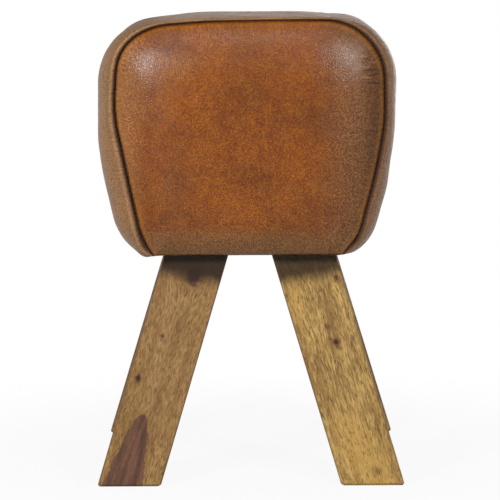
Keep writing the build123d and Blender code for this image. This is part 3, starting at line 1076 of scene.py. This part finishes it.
# %% Put the finishes on the rigid pieces
steel_nodes = (
    "leg_bolts", "leg_washers", "leg_nuts",
    "carcass_staples", "cover_staples", "dust_cover_staples",
)
rigid_finishes = {
    **leg_finishes,
    "base_board": level_plywood,
    "top_board": level_plywood,
    "front_end_board": upright_plywood,
    "rear_end_board": upright_plywood,
    "right_side_board": right_plywood,
    "left_side_board": left_plywood,
    **dict.fromkeys(steel_nodes, zinc_finish),
}
for name, material in rigid_finishes.items():
    slots = nodes[name].data.materials
    slots.clear()
    slots.append(material)
print("Rigid pieces:", len(rigid_finishes))

# %% [markdown]
# ## How the leather behaves at the seam
#
# A strip and an end panel are sewn together inside out, so their edges fold back under the cover. The
# thread pulls the seam into a narrow valley, and the strip's folded edge makes a roll beside it, like
# half a pipe. Each stitch gathers a small pucker. All of it follows from the way round the block, and
# both leathers use the same numbers, so they meet exactly along the valley. Cloth simulation could
# raise such puckers too, but their pitch and the seam's place would be left to chance.

# %% Seam profile
columns = 1001
valley_depth = 5.0 * mm
valley_width = 0.9 * mm
roll_reach = 4.4 * mm
roll_back = 4.2 * mm
roll_turn = radians(60.0)
lower_round = 2.4 * mm

# How big the roll is, by the direction in degrees from +X round the block's middle
roll_places = (0, 40, 90, 140, 180, 215, 325, 360)
roll_shares = (0.7, 0.65, 0.45, 0.75, 1.0, 0.9, 0.6, 0.7)
least_roll = 0.15

# How many columns at either end of the seam the roll, the lower rounding and the puckers fade over
roll_end = 28
round_end = 12
pucker_end = 20

column_way = np.linspace(0.0, 1.0, columns) * seam_length
column_end = np.minimum(np.arange(columns), np.arange(columns)[::-1])
seam_outline = stuffed_outline(0.0, columns)
seam_angles = directions(seam_outline)
roll_size = np.interp(seam_angles, roll_places, roll_shares)
roll_size = roll_size * (least_roll + (1 - least_roll) * smooth_step(0, roll_end, column_end))
lower_share = 1 - smooth_step(0, round_end, column_end)
print("Points along the seam:", columns)
print("The roll's size goes from", roll_size.min().round(2), "to", roll_size.max().round(2))

# %% Puckers
pucker_pitch = 4.6 * mm
pucker_height = 0.28 * mm
pitch_drift = 16 * mm
depth_drift = 26 * mm
pucker_rise = 2.5 * mm
pucker_reach = 6 * mm
# One seed for each end, which the strip and the panel share
front_seed = 11
rear_seed = 23


def pucker_wave(seed):
    """One value a column: the gathering by the stitches, uneven in pitch and in depth."""
    line = [(way, 0.0, seed) for way in column_way]
    drift = wander(line, pitch_drift, seed)
    depth = 0.6 + 0.8 * wander(line, depth_drift, seed + 5)
    wave = np.sin(2 * pi * (column_way / pucker_pitch + 0.6 * drift))
    return wave * depth * smooth_step(0, pucker_end, column_end)


def pucker_fade(way):
    """How strong the puckers are at a way from the valley."""
    return (1 - np.exp(-way / pucker_rise)) * np.exp(-way / pucker_reach) * 2.2


print("Puckers along a seam: about", int(seam_length / pucker_pitch))

# %% [markdown]
# ## The leather strip
#
# One strip of hide runs up one side, over the seat and down the other, and turns under at both ends,
# where it is stapled and slit round the legs. Its mesh is a grid: the columns follow the outline and
# the hems, and the rows run from seam to seam, close together over the roll, where the detail is. Away
# from the seams a row keeps only every fourth point, so the mesh is fine just where it has to be.

# %% Rows of the strip
slit_near = 125.5 * mm
slit_far = 163.5 * mm
fill_reach = 14.0 * mm
roll_fade = 9.0 * mm
# Rows beside the roll, in millimetres back from the seam, and up to where rows are fine or half fine
near_rows = [3.2, 4.6, 6.2, 8.2, 10.4, 12.8, 14.6]
fine_back = 11
half_fine_back = 16


def fullness_at(back):
    """0 at the seam, and nearly 1 further back, where the padding fills the strip."""
    return 1 - np.exp(-back / fill_reach)


def strip_rows():
    """For each row from the front seam to the middle: fullness, lift of the roll, way back and step."""
    rows = []
    for turn in np.linspace(0, pi / 2, 9):
        rows.append((roll_reach * (1 - cos(turn)), valley_depth * (1 - sin(turn))))
    for turn in np.linspace(0, roll_turn, 6)[1:]:
        rows.append((roll_reach + roll_back * sin(turn), roll_back * (1 - cos(turn))))
    last_back = rows[-1][1]
    swell = middle_sizes["half"] - seam_sizes["half"]
    full = fullness_at(last_back)
    profile = []
    for i, (out, back) in enumerate(rows):
        share = (i / (len(rows) - 1)) ** 2
        profile.append((full * share, out - swell * full * share, back, 1))
    lift = profile[-1][1]
    slit = [(half_length - slit_far) / mm, (half_length - slit_near) / mm]
    middle = list(np.linspace(slit[0], slit[1], 9)) + list(np.linspace(slit[1], half_length / mm, 21)[1:])
    for back in near_rows + middle:
        step = 1 if back < fine_back else 2 if back < half_fine_back else 4
        faded = lift * np.exp(-(back * mm - last_back) / roll_fade)
        profile.append((fullness_at(back * mm), faded, back * mm, step))
    return profile, len(rows)


row_profile, roll_rows = strip_rows()
print("Rows of the strip up to its middle:", len(row_profile), "of which the roll has", roll_rows)

# %% Columns of the strip, hems included
tuck_edge = 67.4 * mm
slit_edge = 86.0 * mm
hem_steps = 4
hems = 2 * hem_steps
# Where the lower edge is rounded, each row of the roll lies this much further back than the last
row_round = 0.05 * mm


def hem(line, side):
    """The turned-under edge, from the outline's bottom end to the tucked edge, at one side."""
    start = line[0] if side < 0 else line[-1]
    outer = np.linspace(start[0], side * slit_edge, hem_steps + 1)[1:]
    inner = np.linspace(side * slit_edge, side * tuck_edge, hem_steps + 1)[1:]
    level = np.concatenate((outer, inner))
    return np.column_stack((level, np.full(len(level), underside)))


def with_hems(values, hem_value):
    return np.concatenate((np.full(hems, hem_value), values, np.full(hems, hem_value)))


strip_roll = with_hems(roll_size, roll_size.min())
strip_lower = with_hems(lower_share, 1.0)


def strip_line(row, index, end):
    """One row of the strip, at the front where end is -1 and at the rear where it is 1."""
    fullness, lift, back, _ = row
    line = stuffed_outline(fullness, columns)
    line = np.vstack((hem(line, -1)[::-1], line, hem(line, 1)))
    lifted = line + side_normals(line) * (lift * strip_roll)[:, None]
    depth = np.full(len(line), back)
    if index < roll_rows:
        depth = np.maximum(back * strip_roll, (lower_round + row_round * index) * strip_lower)
    return np.column_stack((lifted[:, 0], end * (half_length - depth), lifted[:, 1]))


front_half, rear_half = ([strip_line(row, i, end) for i, row in enumerate(row_profile)] for end in (-1, 1))
strip = np.array(front_half + rear_half[-2::-1])
half_steps = [row[3] for row in row_profile]
strip_steps = half_steps + half_steps[-2::-1]
half_way = [0.0]
for a, b in zip(row_profile, row_profile[1:]):
    half_way.append(half_way[-1] + np.hypot(b[1] - a[1], b[2] - a[2]))
strip_way = np.array(half_way + half_way[-2::-1])
front_rows = len(half_way)
print("Strip grid:", strip.shape, "way from seam to middle:", round(half_way[-1], 4))

# %% [markdown]
# ## A strip that has been stuffed
#
# The grid is still too perfect. The turn into the hems is relaxed by moving each point towards its
# neighbours, as a subdivided mesh would, and the stuffed lower corners hang down a little. Then the
# puckers and a soft unevenness push each point along its normal, so they work the same way at the top,
# at the sides and underneath.

# %% Lower corners
# The columns that are relaxed at each side, how many of them lie in the hem, and how many times
corner_columns = 18
corner_hem_columns = 3
corner_passes = 18
# The stuffed lower corners: side, place and half width in X, and how far they hang down
lobes = (
    (-1, 107.0 * mm, 8.0 * mm, 5.0 * mm),
    (1, 96.0 * mm, 14.0 * mm, 0.8 * mm),
)
lobe_reach = 34 * mm
lobe_top = 290 * mm
lobe_low = 245 * mm


def relax_corners(grid):
    """Rounds the turn from the outline into the hem, but not in the valley itself."""
    share = 0.5 * smooth_step(0.5 * mm, 7 * mm, strip_way)[:, None, None]
    left = hems - corner_hem_columns
    right = grid.shape[1] - hems + corner_hem_columns - corner_columns
    for first in (left, right):
        last = first + corner_columns
        for _ in range(corner_passes):
            part = grid[:, first:last]
            between = (grid[:, first - 1:last - 1] + grid[:, first + 1:last + 1]) / 2
            grid[:, first:last] = part + (between - part) * share
    return grid


def add_lobes(grid):
    reach = smooth_step(1 * mm, 8 * mm, strip_way) * np.exp(-(strip_way / lobe_reach) ** 2)
    for side, place, width, drop in lobes:
        aside = (side * grid[:, :, 0] - place) / width
        sag = np.exp(-aside ** 2) * smooth_step(lobe_top, lobe_low, grid[:, :, 2])
        grid[:, :, 2] -= drop * sag * reach[:, None]
    return grid


strip = add_lobes(relax_corners(strip))
print("Lowest point of the strip:", strip[:, :, 2].min().round(4))


# %% Puckers and unevenness of the strip
def roughen_strip(grid):
    """Puckers beside the seams, and soft unevenness further away."""
    normals = -grid_normals(grid)
    flat = grid.reshape(-1, 3)
    broad = wander(flat, 55 * mm, 31).reshape(grid.shape[:2])
    ripple = wander(flat * (1.0, 0.45, 1.0), 13 * mm, 37).reshape(grid.shape[:2])
    front_wave = with_hems(pucker_wave(front_seed), 0.0)
    rear_wave = with_hems(pucker_wave(rear_seed), 0.0)
    on_outline = with_hems(np.ones(columns), 0.0)
    for i, way in enumerate(strip_way):
        wave = front_wave if i < front_rows else rear_wave
        away = smooth_step(8 * mm, 36 * mm, way)
        soft = (0.6 * broad[i] + 0.16 * ripple[i]) * mm * away * on_outline
        grid[i] += normals[i] * (wave * pucker_height * pucker_fade(way) + soft)[:, None]
    return grid


strip = settled(roughen_strip(strip))
print("The finished strip reaches up to", strip[:, :, 2].max().round(4))

# %% Wax, painted shade and painted highlight of the strip
# Wax and painted shade in the valley
valley_wax_and_shade = 2.4 * mm
# Painted shade on the roll's slope and a fainter one behind it, from none to full, and how far both move out
shaded_slope = (7.2 * mm, 4.6 * mm)
shade_haze = (16 * mm, 8 * mm)
slope_move = 1.4 * mm
# A painted highlight on the roll's ridge
highlight_way = 7.5 * mm
highlight_width = 0.9 * mm

# On the right the roll lies in a darker, wider slope of painted shade, and gets no painted highlight
strip_right = with_hems(smooth_step(0.35, 0.75, np.cos(np.radians(seam_angles))), 0.5)[None, :]
strip_far = strip_way[:, None] - slope_move * strip_right
strip_shaded_slope = 0.66 * smooth_step(*shaded_slope, strip_far)
strip_shaded_slope += 0.14 * smooth_step(*shade_haze, strip_far)
strip_wax_and_shade = np.exp(-strip_way[:, None] / valley_wax_and_shade) + strip_shaded_slope
strip_painted_highlight = np.exp(-((strip_way[:, None] - highlight_way) / highlight_width) ** 2) * (0.45 - 0.45 * strip_right)
strip_marks = np.stack((strip_wax_and_shade, strip_painted_highlight), axis=2)
print("Wax up to", strip_wax_and_shade.max().round(2), "and wear up to", strip_painted_highlight.max().round(2))

# %% Weave the strip
leather_thickness = 1.4 * mm
above_hem = 2 * mm


def in_slit(face, points):
    """Whether a face of the hem lies where a leg passes through."""
    x, y, z = np.mean([points[k][:3] for k in face], axis=0)
    return abs(x) < slit_edge and slit_near < abs(y) < slit_far and z < underside + above_hem


points, faces, rows = weave(np.concatenate((strip, strip_marks), axis=2), strip_steps, False)
faces = [face for face in faces if not in_slit(face, points)]
cover_band = piece("leather_strip", points, faces, band_leather, ["cover_band"])
thicken(cover_band, leather_thickness)
print("Leather strip faces:", len(cover_band.data.polygons))

# %% [markdown]
# ## The end panels
#
# Each end is one piece of hide, crowned by the foam behind it. Its mesh is a set of rings: the outer
# one lies in the seam's valley and along the lower edge, and the next ones step inwards, finely at
# first. Four times on the way to the middle the rings halve their points, so that the faces don't get
# too narrow. The front panel also has the soft folds of a seat that has been used.

# %% Rings of a panel
edge_columns = 87
ring_columns = columns + edge_columns
panel_crown = 20.0 * mm
crown_power = 5
flat_share = 0.3

# Steps inwards, as shares of the ring's size
seam_rings = 12
seam_ring_share = 0.0026
seam_shares = 1 - np.arange(0, seam_rings) * seam_ring_share
near_shares = np.linspace(seam_shares[-1], 0.9, 15)[1:]
even_shares = np.linspace(0.9, 0.5, 44)[1:]
middle_shares = np.linspace(0.5, 0.06, 30)[1:]
panel_shares = np.concatenate((seam_shares, near_shares, even_shares, middle_shares))
# Rings above each share pass over points by this step, and those nearest the middle by the last
thinning = ((0.9, 1), (0.45, 2), (0.22, 4), (0.1, 8))
middle_step = 16


def crown_at(share):
    """How far the end panel stands out, from 0 at the seam to 1 over its middle."""
    return (1 - max(share, flat_share) ** crown_power) / (1 - flat_share ** crown_power)


def ring_step(share):
    """How many points of a ring are passed over."""
    for least, step in thinning:
        if share > least:
            return step
    return middle_step


def panel_ring(share):
    """A closed ring: the outline from bottom left to bottom right, then back along the lower edge."""
    line = seam_outline
    level = np.linspace(line[-1][0], line[0][0], edge_columns + 2)[1:-1]
    ring = np.vstack((line, np.column_stack((level, np.full(edge_columns, underside)))))
    x = ring[:, 0] * share
    z = middle_height + (ring[:, 1] - middle_height) * share
    y = -half_length - panel_crown * crown_at(share)
    return np.column_stack((x, np.full(len(x), y), z))


print("Panel rings:", len(panel_shares), "of", ring_columns, "points")

# %% Folds of the front panel
# Each runs from one place to another in X and Z, in millimetres, with a width and a depth
folds = [
    ((108.0, 427.0), (123.0, 424.8), 2.6, 0.5),
    ((112.0, 414.5), (131.5, 412.6), 2.6, 0.8),
    ((114.5, 406.0), (130.6, 404.4), 2.4, 0.55),
    ((97.0, 357.2), (130.5, 358.2), 2.4, 0.25),
    ((98.0, 320.8), (123.0, 315.4), 2.4, 0.6),
    ((104.0, 329.0), (124.5, 326.0), 2.4, 0.4),
    ((-128.0, 377.0), (-112.0, 373.5), 2.4, 0.3),
]


def fold_depth(points):
    """How deep the folds are at each point. A fold bows a little and has a soft ridge on both sides."""
    depth = np.zeros(len(points))
    flat = points[:, [0, 2]] / mm
    for start, end, width, deep in folds:
        start, end = np.array(start), np.array(end)
        run = end - start
        share = np.clip((flat - start) @ run / (run @ run), 0, 1)
        bow = 0.8 * np.sin(pi * share) + 0.4 * np.sin(9.0 * share + start[0])
        nearest = start + share[:, None] * run
        nearest[:, 1] += bow
        away = np.linalg.norm(flat - nearest, axis=1)
        ends = smooth_step(0.0, 0.25, share) * smooth_step(1.0, 0.75, share)
        valley = np.exp(-(away / width) ** 2) - 0.5 * np.exp(-((away - 1.9 * width) / width) ** 2)
        depth += deep * mm * valley * (0.2 + 0.8 * ends)
    return depth


print("Folds:", len(folds), "up to", max(fold[3] for fold in folds), "mm deep")

# %% Shape a panel
# Wax and painted shade in the valley, and a painted highlight on the panel's shoulder beside it
panel_wax_and_shade = 1.0 * mm
panel_highlight_way = 4.0 * mm
panel_highlight_width = 2.6 * mm
# Where the right side of the panel has fine striations: in X and in Z, from none to full
striated_side = (85 * mm, 118 * mm)
striated_height = (300 * mm, 330 * mm)


def panel_marks(rings):
    """Wax and painted shade in the valley, painted highlight beside it, but no highlight on the lower edge.
    """
    distance = np.linalg.norm(rings - rings[0], axis=2)
    # Painted shade along the lower edge, where the panel turns under
    lower_edge_shade = np.full(edge_columns, 0.5)
    wax_and_shade = np.exp(-distance / panel_wax_and_shade) * np.concatenate((np.ones(columns), lower_edge_shade))
    painted_highlight = 0.6 * np.exp(-((distance - panel_highlight_way) / panel_highlight_width) ** 2)
    painted_highlight = painted_highlight * np.concatenate((np.ones(columns), np.zeros(edge_columns)))
    return np.stack((wax_and_shade, painted_highlight), axis=2)


def panel_grid(front, seed):
    rings = np.array([panel_ring(share) for share in panel_shares])
    normals = grid_normals(rings)
    normals *= -np.sign(normals[:, :, 1].mean())
    zeros = np.zeros(edge_columns)
    wave = np.concatenate((pucker_wave(seed), zeros))
    valley = np.concatenate((valley_depth * roll_size, zeros))
    lower = np.concatenate((lower_share, zeros + 1))
    flat = rings.reshape(-1, 3)
    broad = wander(flat, 48 * mm, seed + 40).reshape(rings.shape[:2])
    ripple = wander(flat, 11 * mm, seed + 41).reshape(rings.shape[:2])
    striation = wander(flat * (0.3, 1.0, 1.8), 6 * mm, seed + 42).reshape(rings.shape[:2])
    right = smooth_step(*striated_side, rings[:, :, 0]) * smooth_step(*striated_height, rings[:, :, 2])
    moved = rings.copy()
    for i in range(len(panel_shares)):
        distance = np.linalg.norm(rings[i] - rings[0], axis=1)
        inside = np.clip(lower_round - distance, 0, lower_round)
        rounding = (lower_round - np.sqrt(lower_round ** 2 - inside ** 2)) * lower
        dip = np.maximum(valley * np.exp(-distance / valley_width), rounding)
        away = smooth_step(5 * mm, 28 * mm, distance)
        soft = (0.7 * broad[i] + 0.12 * ripple[i] + 0.12 * striation[i] * right[i] * front) * mm * away
        pucker = wave * 0.8 * pucker_height * pucker_fade(distance)
        moved[i] += normals[i] * (pucker + soft)[:, None]
        moved[i, :, 1] += dip
    if front:
        flat = moved.reshape(-1, 3)
        flat[:, 1] += fold_depth(flat)
        moved = flat.reshape(rings.shape)
    return np.concatenate((moved, panel_marks(rings)), axis=2)


# %% Tuck the lower edge and make both panels
end_tuck = 16.0 * mm
tuck_steps = 8


def add_tuck(points, faces, outer):
    """The lower edge turns under the base and runs back to its tucked edge."""
    edge = [outer[k] for k in range(columns, ring_columns) if abs(points[outer[k]][0]) <= tuck_edge]
    above = edge
    for step in range(1, tuck_steps + 1):
        row = []
        for k in edge:
            x, y = points[k][:2]
            row.append(len(points))
            points.append(np.array((x, y + end_tuck * step / tuck_steps, underside, 0.0, 0.0)))
        faces += bridge(row, above, False)
        above = row


def make_panel(name, node, front, seed):
    steps = [ring_step(share) for share in panel_shares]
    points, faces, rows = weave(panel_grid(front, seed), steps, True)
    centre = len(points)
    last = rows[-1]
    points.append(np.mean([points[k] for k in last], axis=0))
    faces += [(last[k], last[(k + 1) % len(last)], centre) for k in range(len(last))]
    add_tuck(points, faces, rows[0])
    faces = [tuple(reversed(face)) for face in faces]
    points = np.array(points)
    if not front:
        points[:, 1] *= -1
        points[:, :3] = settled(points[:, :3])
        faces = [tuple(reversed(face)) for face in faces]
    made = piece(name, points, faces, panel_leather, [node])
    thicken(made, leather_thickness)
    print(name, "faces:", len(made.data.polygons))


make_panel("leather_front_panel", "front_panel", 1, front_seed)
make_panel("leather_rear_panel", "rear_panel", 0, rear_seed)

# %% [markdown]
# ## Stitches
#
# Thread shows only down in the valley, as short dashes. Each stitch is a tiny spindle, laid along the
# seam by a loop. They are far too small to be modelled one by one, and too regular to be left out.

# %% Stitches in both seams
stitch_pitch = 4.0 * mm
stitch_length = 2.9 * mm
stitch_radius = 0.45 * mm
stitch_sides = 6
stitch_depth = 0.8
stitch_start = 20 * mm
# Places along a stitch, as shares of its length, and how thick it is there
stitch_girths = ((-0.5, 0.35), (-0.3, 0.9), (0.0, 1.0), (0.3, 0.9), (0.5, 0.35))


def stitch_points(way, end):
    """Rings of one spindle centred at a way along the seam, well down in the valley."""
    rings = []
    for share, girth in stitch_girths:
        at = way + share * stitch_length
        x, z, size = (np.interp(at, column_way, v) for v in (*seam_outline.T, roll_size))
        ahead = [np.interp(at + mm, column_way, v) for v in seam_outline.T]
        run = np.array((ahead[0] - x, ahead[1] - z))
        run /= np.linalg.norm(run) or 1.0
        y = end * (half_length - valley_depth * size * stitch_depth)
        for k in range(stitch_sides):
            turn = 2 * pi * k / stitch_sides
            side = cos(turn) * stitch_radius * girth
            rise = sin(turn) * stitch_radius * girth
            rings.append((x - run[1] * side, y + rise, z + run[0] * side))
    return rings


def make_stitches(name, end):
    points, faces = [], []
    rings = len(stitch_girths)
    total = int((seam_length - 2 * stitch_start) / stitch_pitch)
    for i in range(total):
        first = len(points)
        points += stitch_points(stitch_start + i * stitch_pitch, end)
        faces += grid_faces(rings, stitch_sides, first, closed=True)
        faces.append(tuple(first + k for k in reversed(range(stitch_sides))))
        faces.append(tuple(first + (rings - 1) * stitch_sides + k for k in range(stitch_sides)))
    piece(name, settled(points), faces, thread_finish)
    print(name, "stitches:", total)


make_stitches("front_seam_stitches", -1)
make_stitches("rear_seam_stitches", 1)

# %% [markdown]
# ## Foam
#
# The padding never shows, but a repairer would find it. Each pad is lofted through closed rings: an
# outer line that follows the inside of the leather, and an inner one that follows the boards.

# %% Loft through closed rings
def make_pad(name, node, rings):
    """A closed solid through rings of equal counts, with a fan over each end."""
    count = len(rings[0])
    points = list(settled([p for ring in rings for p in ring]))
    faces = grid_faces(len(rings), count, closed=True)
    for first, order in ((0, 1), ((len(rings) - 1) * count, -1)):
        centre = len(points)
        points.append(np.mean(points[first:first + count], axis=0))
        for k in range(count):
            faces.append((first + k, first + (k + 1) % count, centre)[::order])
    made = piece(name, points, faces, foam_finish, [node])
    print(name, "faces:", len(faces))


def level_ring(line, y):
    """A line in X and Z as a ring at a place in Y."""
    return np.column_stack((line[:, 0], np.full(len(line), y), line[:, 1]))


# %% Pads over the seat and the sides
foam_inset = 4.0 * mm
board_face = 174.0 * mm
board_gap = 0.4 * mm
base_bottom = 240.0 * mm
base_top = 255.4 * mm
base_half_width = 91.6 * mm
carcass_top = 436.0 * mm
side_top_half = 115.3 * mm
swell_power = 6
outer_points = 60
seat_under_points = 24
side_inner_points = 30
fine_outline = 400
foam_stations = np.linspace(-board_face + board_gap, board_face - board_gap, 25)


def swell_at(y):
    """0 at either seam, 1 in the middle of the block."""
    return 1 - abs(y / half_length) ** swell_power


def seat_ring(y):
    line = stuffed_outline(swell_at(y), fine_outline, foam_inset, base_bottom)
    over = line[line[:, 1] >= carcass_top + board_gap]
    level = np.array(((over[0][0], carcass_top + board_gap), (over[-1][0], carcass_top + board_gap)))
    top = evenly(np.vstack((level[:1], over, level[1:])), outer_points)
    under = evenly(level[::-1], seat_under_points)[1:-1]
    return level_ring(np.vstack((top, under)), y)


def side_ring(y, side):
    line = stuffed_outline(swell_at(y), fine_outline, foam_inset, base_bottom)
    half = line[line[:, 0] > 0]
    outer = evenly(half[half[:, 1] <= carcass_top - board_gap], outer_points)
    inner = np.array((
        (base_half_width + board_gap, base_bottom),
        (base_half_width + board_gap, base_top),
        (side_top_half + board_gap, carcass_top - top_board_thickness),
        (side_top_half + board_gap, carcass_top - board_gap),
    ))
    ring = np.vstack((outer, evenly(inner, side_inner_points)))
    if side < 0:
        ring = ring[::-1] * (-1, 1)
    return level_ring(ring, y)


make_pad("seat_pad", "seat_foam", [seat_ring(y) for y in foam_stations])
make_pad("right_side_pad", "right_side_foam", [side_ring(y, 1) for y in foam_stations])
make_pad("left_side_pad", "left_side_foam", [side_ring(y, -1) for y in foam_stations])

# %% Pads over the ends
end_outline = 160
end_lower_points = 40
shoulder_back = 3 * mm
crown_back = 2 * mm


def end_ring(share, y, end):
    line = stuffed_outline(0.0, end_outline, foam_inset, base_bottom)
    level = np.linspace(line[-1][0], line[0][0], end_lower_points + 2)[1:-1]
    ring = np.vstack((line, np.column_stack((level, np.full(end_lower_points, base_bottom)))))
    x = ring[:, 0] * share
    z = middle_height + (ring[:, 1] - middle_height) * share
    ring = np.column_stack((x, np.full(len(x), end * y), z))
    return ring if end < 0 else ring[::-1]


def end_rings(end):
    rings = [end_ring(1.0, board_face + board_gap, end), end_ring(1.0, half_length - shoulder_back, end)]
    for share in np.linspace(0.985, 0.1, 22):
        reach = (panel_crown - foam_inset) * crown_at(share)
        rings.append(end_ring(share, half_length + reach - crown_back, end))
    return rings


make_pad("front_pad", "front_foam", end_rings(-1))
make_pad("rear_pad", "rear_foam", end_rings(1))

# %% [markdown]
# ## The dust cover
#
# A thin black bonded cloth closes the bottom. It is one flat sheet, notched round the legs and
# stapled along its edges, so it lies almost flat and only sags a little between the staples.

# %% Lines of the dust cover
cloth_low, cloth_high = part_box("dust_cover")
cloth_thickness = 0.6 * mm
cloth_mesh = 5 * mm
notch_inner = 19.4 * mm


def axis_lines(reach, stops, pitch):
    """Places from -reach to reach that include each stop on both sides."""
    marks = sorted({-reach, reach, 0.0, *stops, *[-s for s in stops]})
    places = []
    for low, high in zip(marks, marks[1:]):
        count = max(1, int(round((high - low) / pitch)))
        places += list(np.linspace(low, high, count + 1)[:-1])
    return np.array(places + [marks[-1]])


cloth_xs = axis_lines(cloth_high.x, [notch_inner], cloth_mesh)
cloth_ys = axis_lines(cloth_high.y, [slit_near, slit_far], cloth_mesh)
print("Lines across and along the cloth:", len(cloth_xs), len(cloth_ys))

# %% Make the dust cover
cloth_sag = 1.2 * mm
cloth_wave = 0.3 * mm
wave_size = 24 * mm


def cloth_point(x, y):
    """The cloth hangs below its stapled edges, and waves a little where it is free."""
    inward = min(cloth_high.x - abs(x), cloth_high.y - abs(y))
    sag = cloth_sag * smooth_step(2 * mm, 40 * mm, inward)
    wave = cloth_wave * noise.noise(Vector((x, y, 0.0)) / wave_size) * smooth_step(0, 12 * mm, inward)
    return (x, y, cloth_low.z - sag + wave)


def in_notch(x, y):
    return x > notch_inner and slit_near < y < slit_far


def make_dust_cover():
    xs, ys = cloth_xs, cloth_ys
    points = [cloth_point(x, y) for y in ys for x in xs]
    faces = []
    for i in range(len(ys) - 1):
        for j in range(len(xs) - 1):
            if in_notch(abs(xs[j] + xs[j + 1]) / 2, abs(ys[i] + ys[i + 1]) / 2):
                continue
            a = i * len(xs) + j
            faces.append((a, a + len(xs), a + len(xs) + 1, a + 1))
    made = piece("dust_cloth", points, faces, cloth_finish, ["dust_cover"])
    thicken(made, cloth_thickness)
    return made


dust_cover = make_dust_cover()

# %% [markdown]
# ## Floor and world
#
# The stool stands on a plain pale floor that fades to white. The world is dim as a light and white to
# the camera, so that colours render about as they are written. In reflections it is white only behind
# the stool, because a white room in front of it would lay a grey veil over the brown leather.

# %% Floor
white = (1.0, 1.0, 1.0, 1.0)
floor_reach = 6.0
floor_lines = 41
floor_greys = ((0.6, 0.6, 0.6, 1.0), (0.63, 0.63, 0.63, 1.0))
# From the middle outwards, the share of white that the camera sees goes from the first to the last
floor_fade = (0.15, 0.6)
floor_whites = (0.92, 1.0)


def behind(tree, y):
    """0 in front of the stool and 1 behind it, for reflections."""
    return ramp(tree, y, -0.3, 0.3)


def make_floor():
    mesh = bpy.data.meshes.new("floor")
    ticks = np.linspace(-floor_reach, floor_reach, floor_lines)
    points = [(x, y, 0.0) for y in ticks for x in ticks]
    mesh.from_pydata(points, [], grid_faces(floor_lines, floor_lines))
    floor = bpy.data.objects.new("floor", mesh)
    bpy.context.scene.collection.objects.link(floor)
    material = bpy.data.materials.new("pale_floor")
    material.use_nodes = True
    tree = material.node_tree
    tree.nodes.clear()
    where = add(tree, "TexCoord").outputs["Object"]
    colour = colour_mix(tree, noise_at(tree, where, 20 * mm, 3.0), *floor_greys)
    shader = add(tree, "BsdfPrincipled", {"Base Color": colour, "Roughness": 0.9})
    glow = add(tree, "Emission", {"Color": white, "Strength": 1.0})
    path = add(tree, "LightPath").outputs
    mirrored = maths(tree, "MAXIMUM", path["Is Glossy Ray"], path["Is Transmission Ray"])
    mirrored = maths(tree, "MULTIPLY", mirrored, behind(tree, split(tree, where)[1]))
    seen = maths(tree, "MAXIMUM", path["Is Camera Ray"], mirrored)
    far = ramp(tree, vector_length(tree, where), *floor_fade, *floor_whites)
    share = maths(tree, "MULTIPLY", far, seen)
    both = add(tree, "MixShader", {0: share, 1: shader.outputs[0], 2: glow.outputs[0]})
    leave = add(tree, "OutputMaterial")
    tree.links.new(both.outputs[0], leave.inputs[0])
    mesh.materials.append(material)
    print("Floor:", 2 * floor_reach, "m wide")


make_floor()

# %% World
world_light = 0.12


def make_world():
    world = bpy.data.worlds.new("studio")
    bpy.context.scene.world = world
    world.use_nodes = True
    tree = world.node_tree
    tree.nodes.clear()
    path = add(tree, "LightPath").outputs
    _, y, z = split(tree, add(tree, "TexCoord").outputs["Generated"])
    low_behind = maths(tree, "MULTIPLY", behind(tree, y), ramp(tree, z, 0.5, 0.0))
    mirrored = maths(tree, "MULTIPLY", path["Is Glossy Ray"], low_behind)
    seen = maths(tree, "MAXIMUM", path["Is Camera Ray"], mirrored)
    seen = maths(tree, "MAXIMUM", seen, path["Is Transmission Ray"])
    dim = add(tree, "Background", {"Color": white, "Strength": world_light})
    bright = add(tree, "Background", {"Color": white, "Strength": 1.0})
    both = add(tree, "MixShader", {0: seen, 1: dim.outputs[0], 2: bright.outputs[0]})
    leave = add(tree, "OutputWorld")
    tree.links.new(both.outputs[0], leave.inputs[0])
    print("World:", world.name)


make_world()

# %% [markdown]
# ## Lamps
#
# Two small soft lamps in front, at the left and the right, give the leather its two highlights. A
# larger one high in front lights the whole and leaves the tops of the legs in shade, and a low one
# behind lights the far end for other views.

# %% Lamps
seat_middle = Vector((0.0, 0.0, 0.33))
# Name, place, width and height, and power in watts
lamps = (
    ("left_lamp", (-1.15, -1.9, 1.15), (0.3, 0.44), 33.0),
    ("right_lamp", (1.1, -1.9, 1.22), (0.3, 0.4), 22.5),
    ("high_lamp", (-0.1, -1.5, 2.25), (1.1, 0.8), 10.7),
    ("rear_lamp", (0.4, 2.3, 0.45), (1.2, 0.6), 14.0),
)
for name, place, size, power in lamps:
    light = bpy.data.lights.new(name, "AREA")
    light.shape = "RECTANGLE"
    light.size, light.size_y = size
    light.energy = power
    lamp = bpy.data.objects.new(name, light)
    bpy.context.scene.collection.objects.link(lamp)
    lamp.location = place
    lamp.rotation_euler = (seat_middle - Vector(place)).to_track_quat("-Z", "Y").to_euler()
print("Lamps:", len(lamps), "with", sum(lamp[3] for lamp in lamps), "W in all")

# %% [markdown]
# ## Camera
#
# The camera stands square to the stool's end, a little above the seat and nearly three metres away.
# Its height and distance were worked out from how much lower the rear feet stand in the photograph.

# %% Camera
image_width = 500
focal_pixels = 2636.4
sensor_width = 36.0
camera_place = (0.0, -2.76, 0.55)
camera_pitch = radians(6.829)
camera_roll = radians(-0.27)


def make_camera():
    lens = bpy.data.cameras.new("camera")
    lens.sensor_width = sensor_width
    lens.lens = focal_pixels / image_width * sensor_width
    lens.clip_end = 30.0
    camera = bpy.data.objects.new("camera", lens)
    bpy.context.scene.collection.objects.link(camera)
    camera.location = camera_place
    camera.rotation_mode = "ZYX"
    camera.rotation_euler = (pi / 2 - camera_pitch, 0.0, camera_roll)
    bpy.context.scene.camera = camera
    print("Camera with a lens of", round(lens.lens, 1), "mm")


make_camera()
bpy.context.scene.view_settings.view_transform = "Standard"
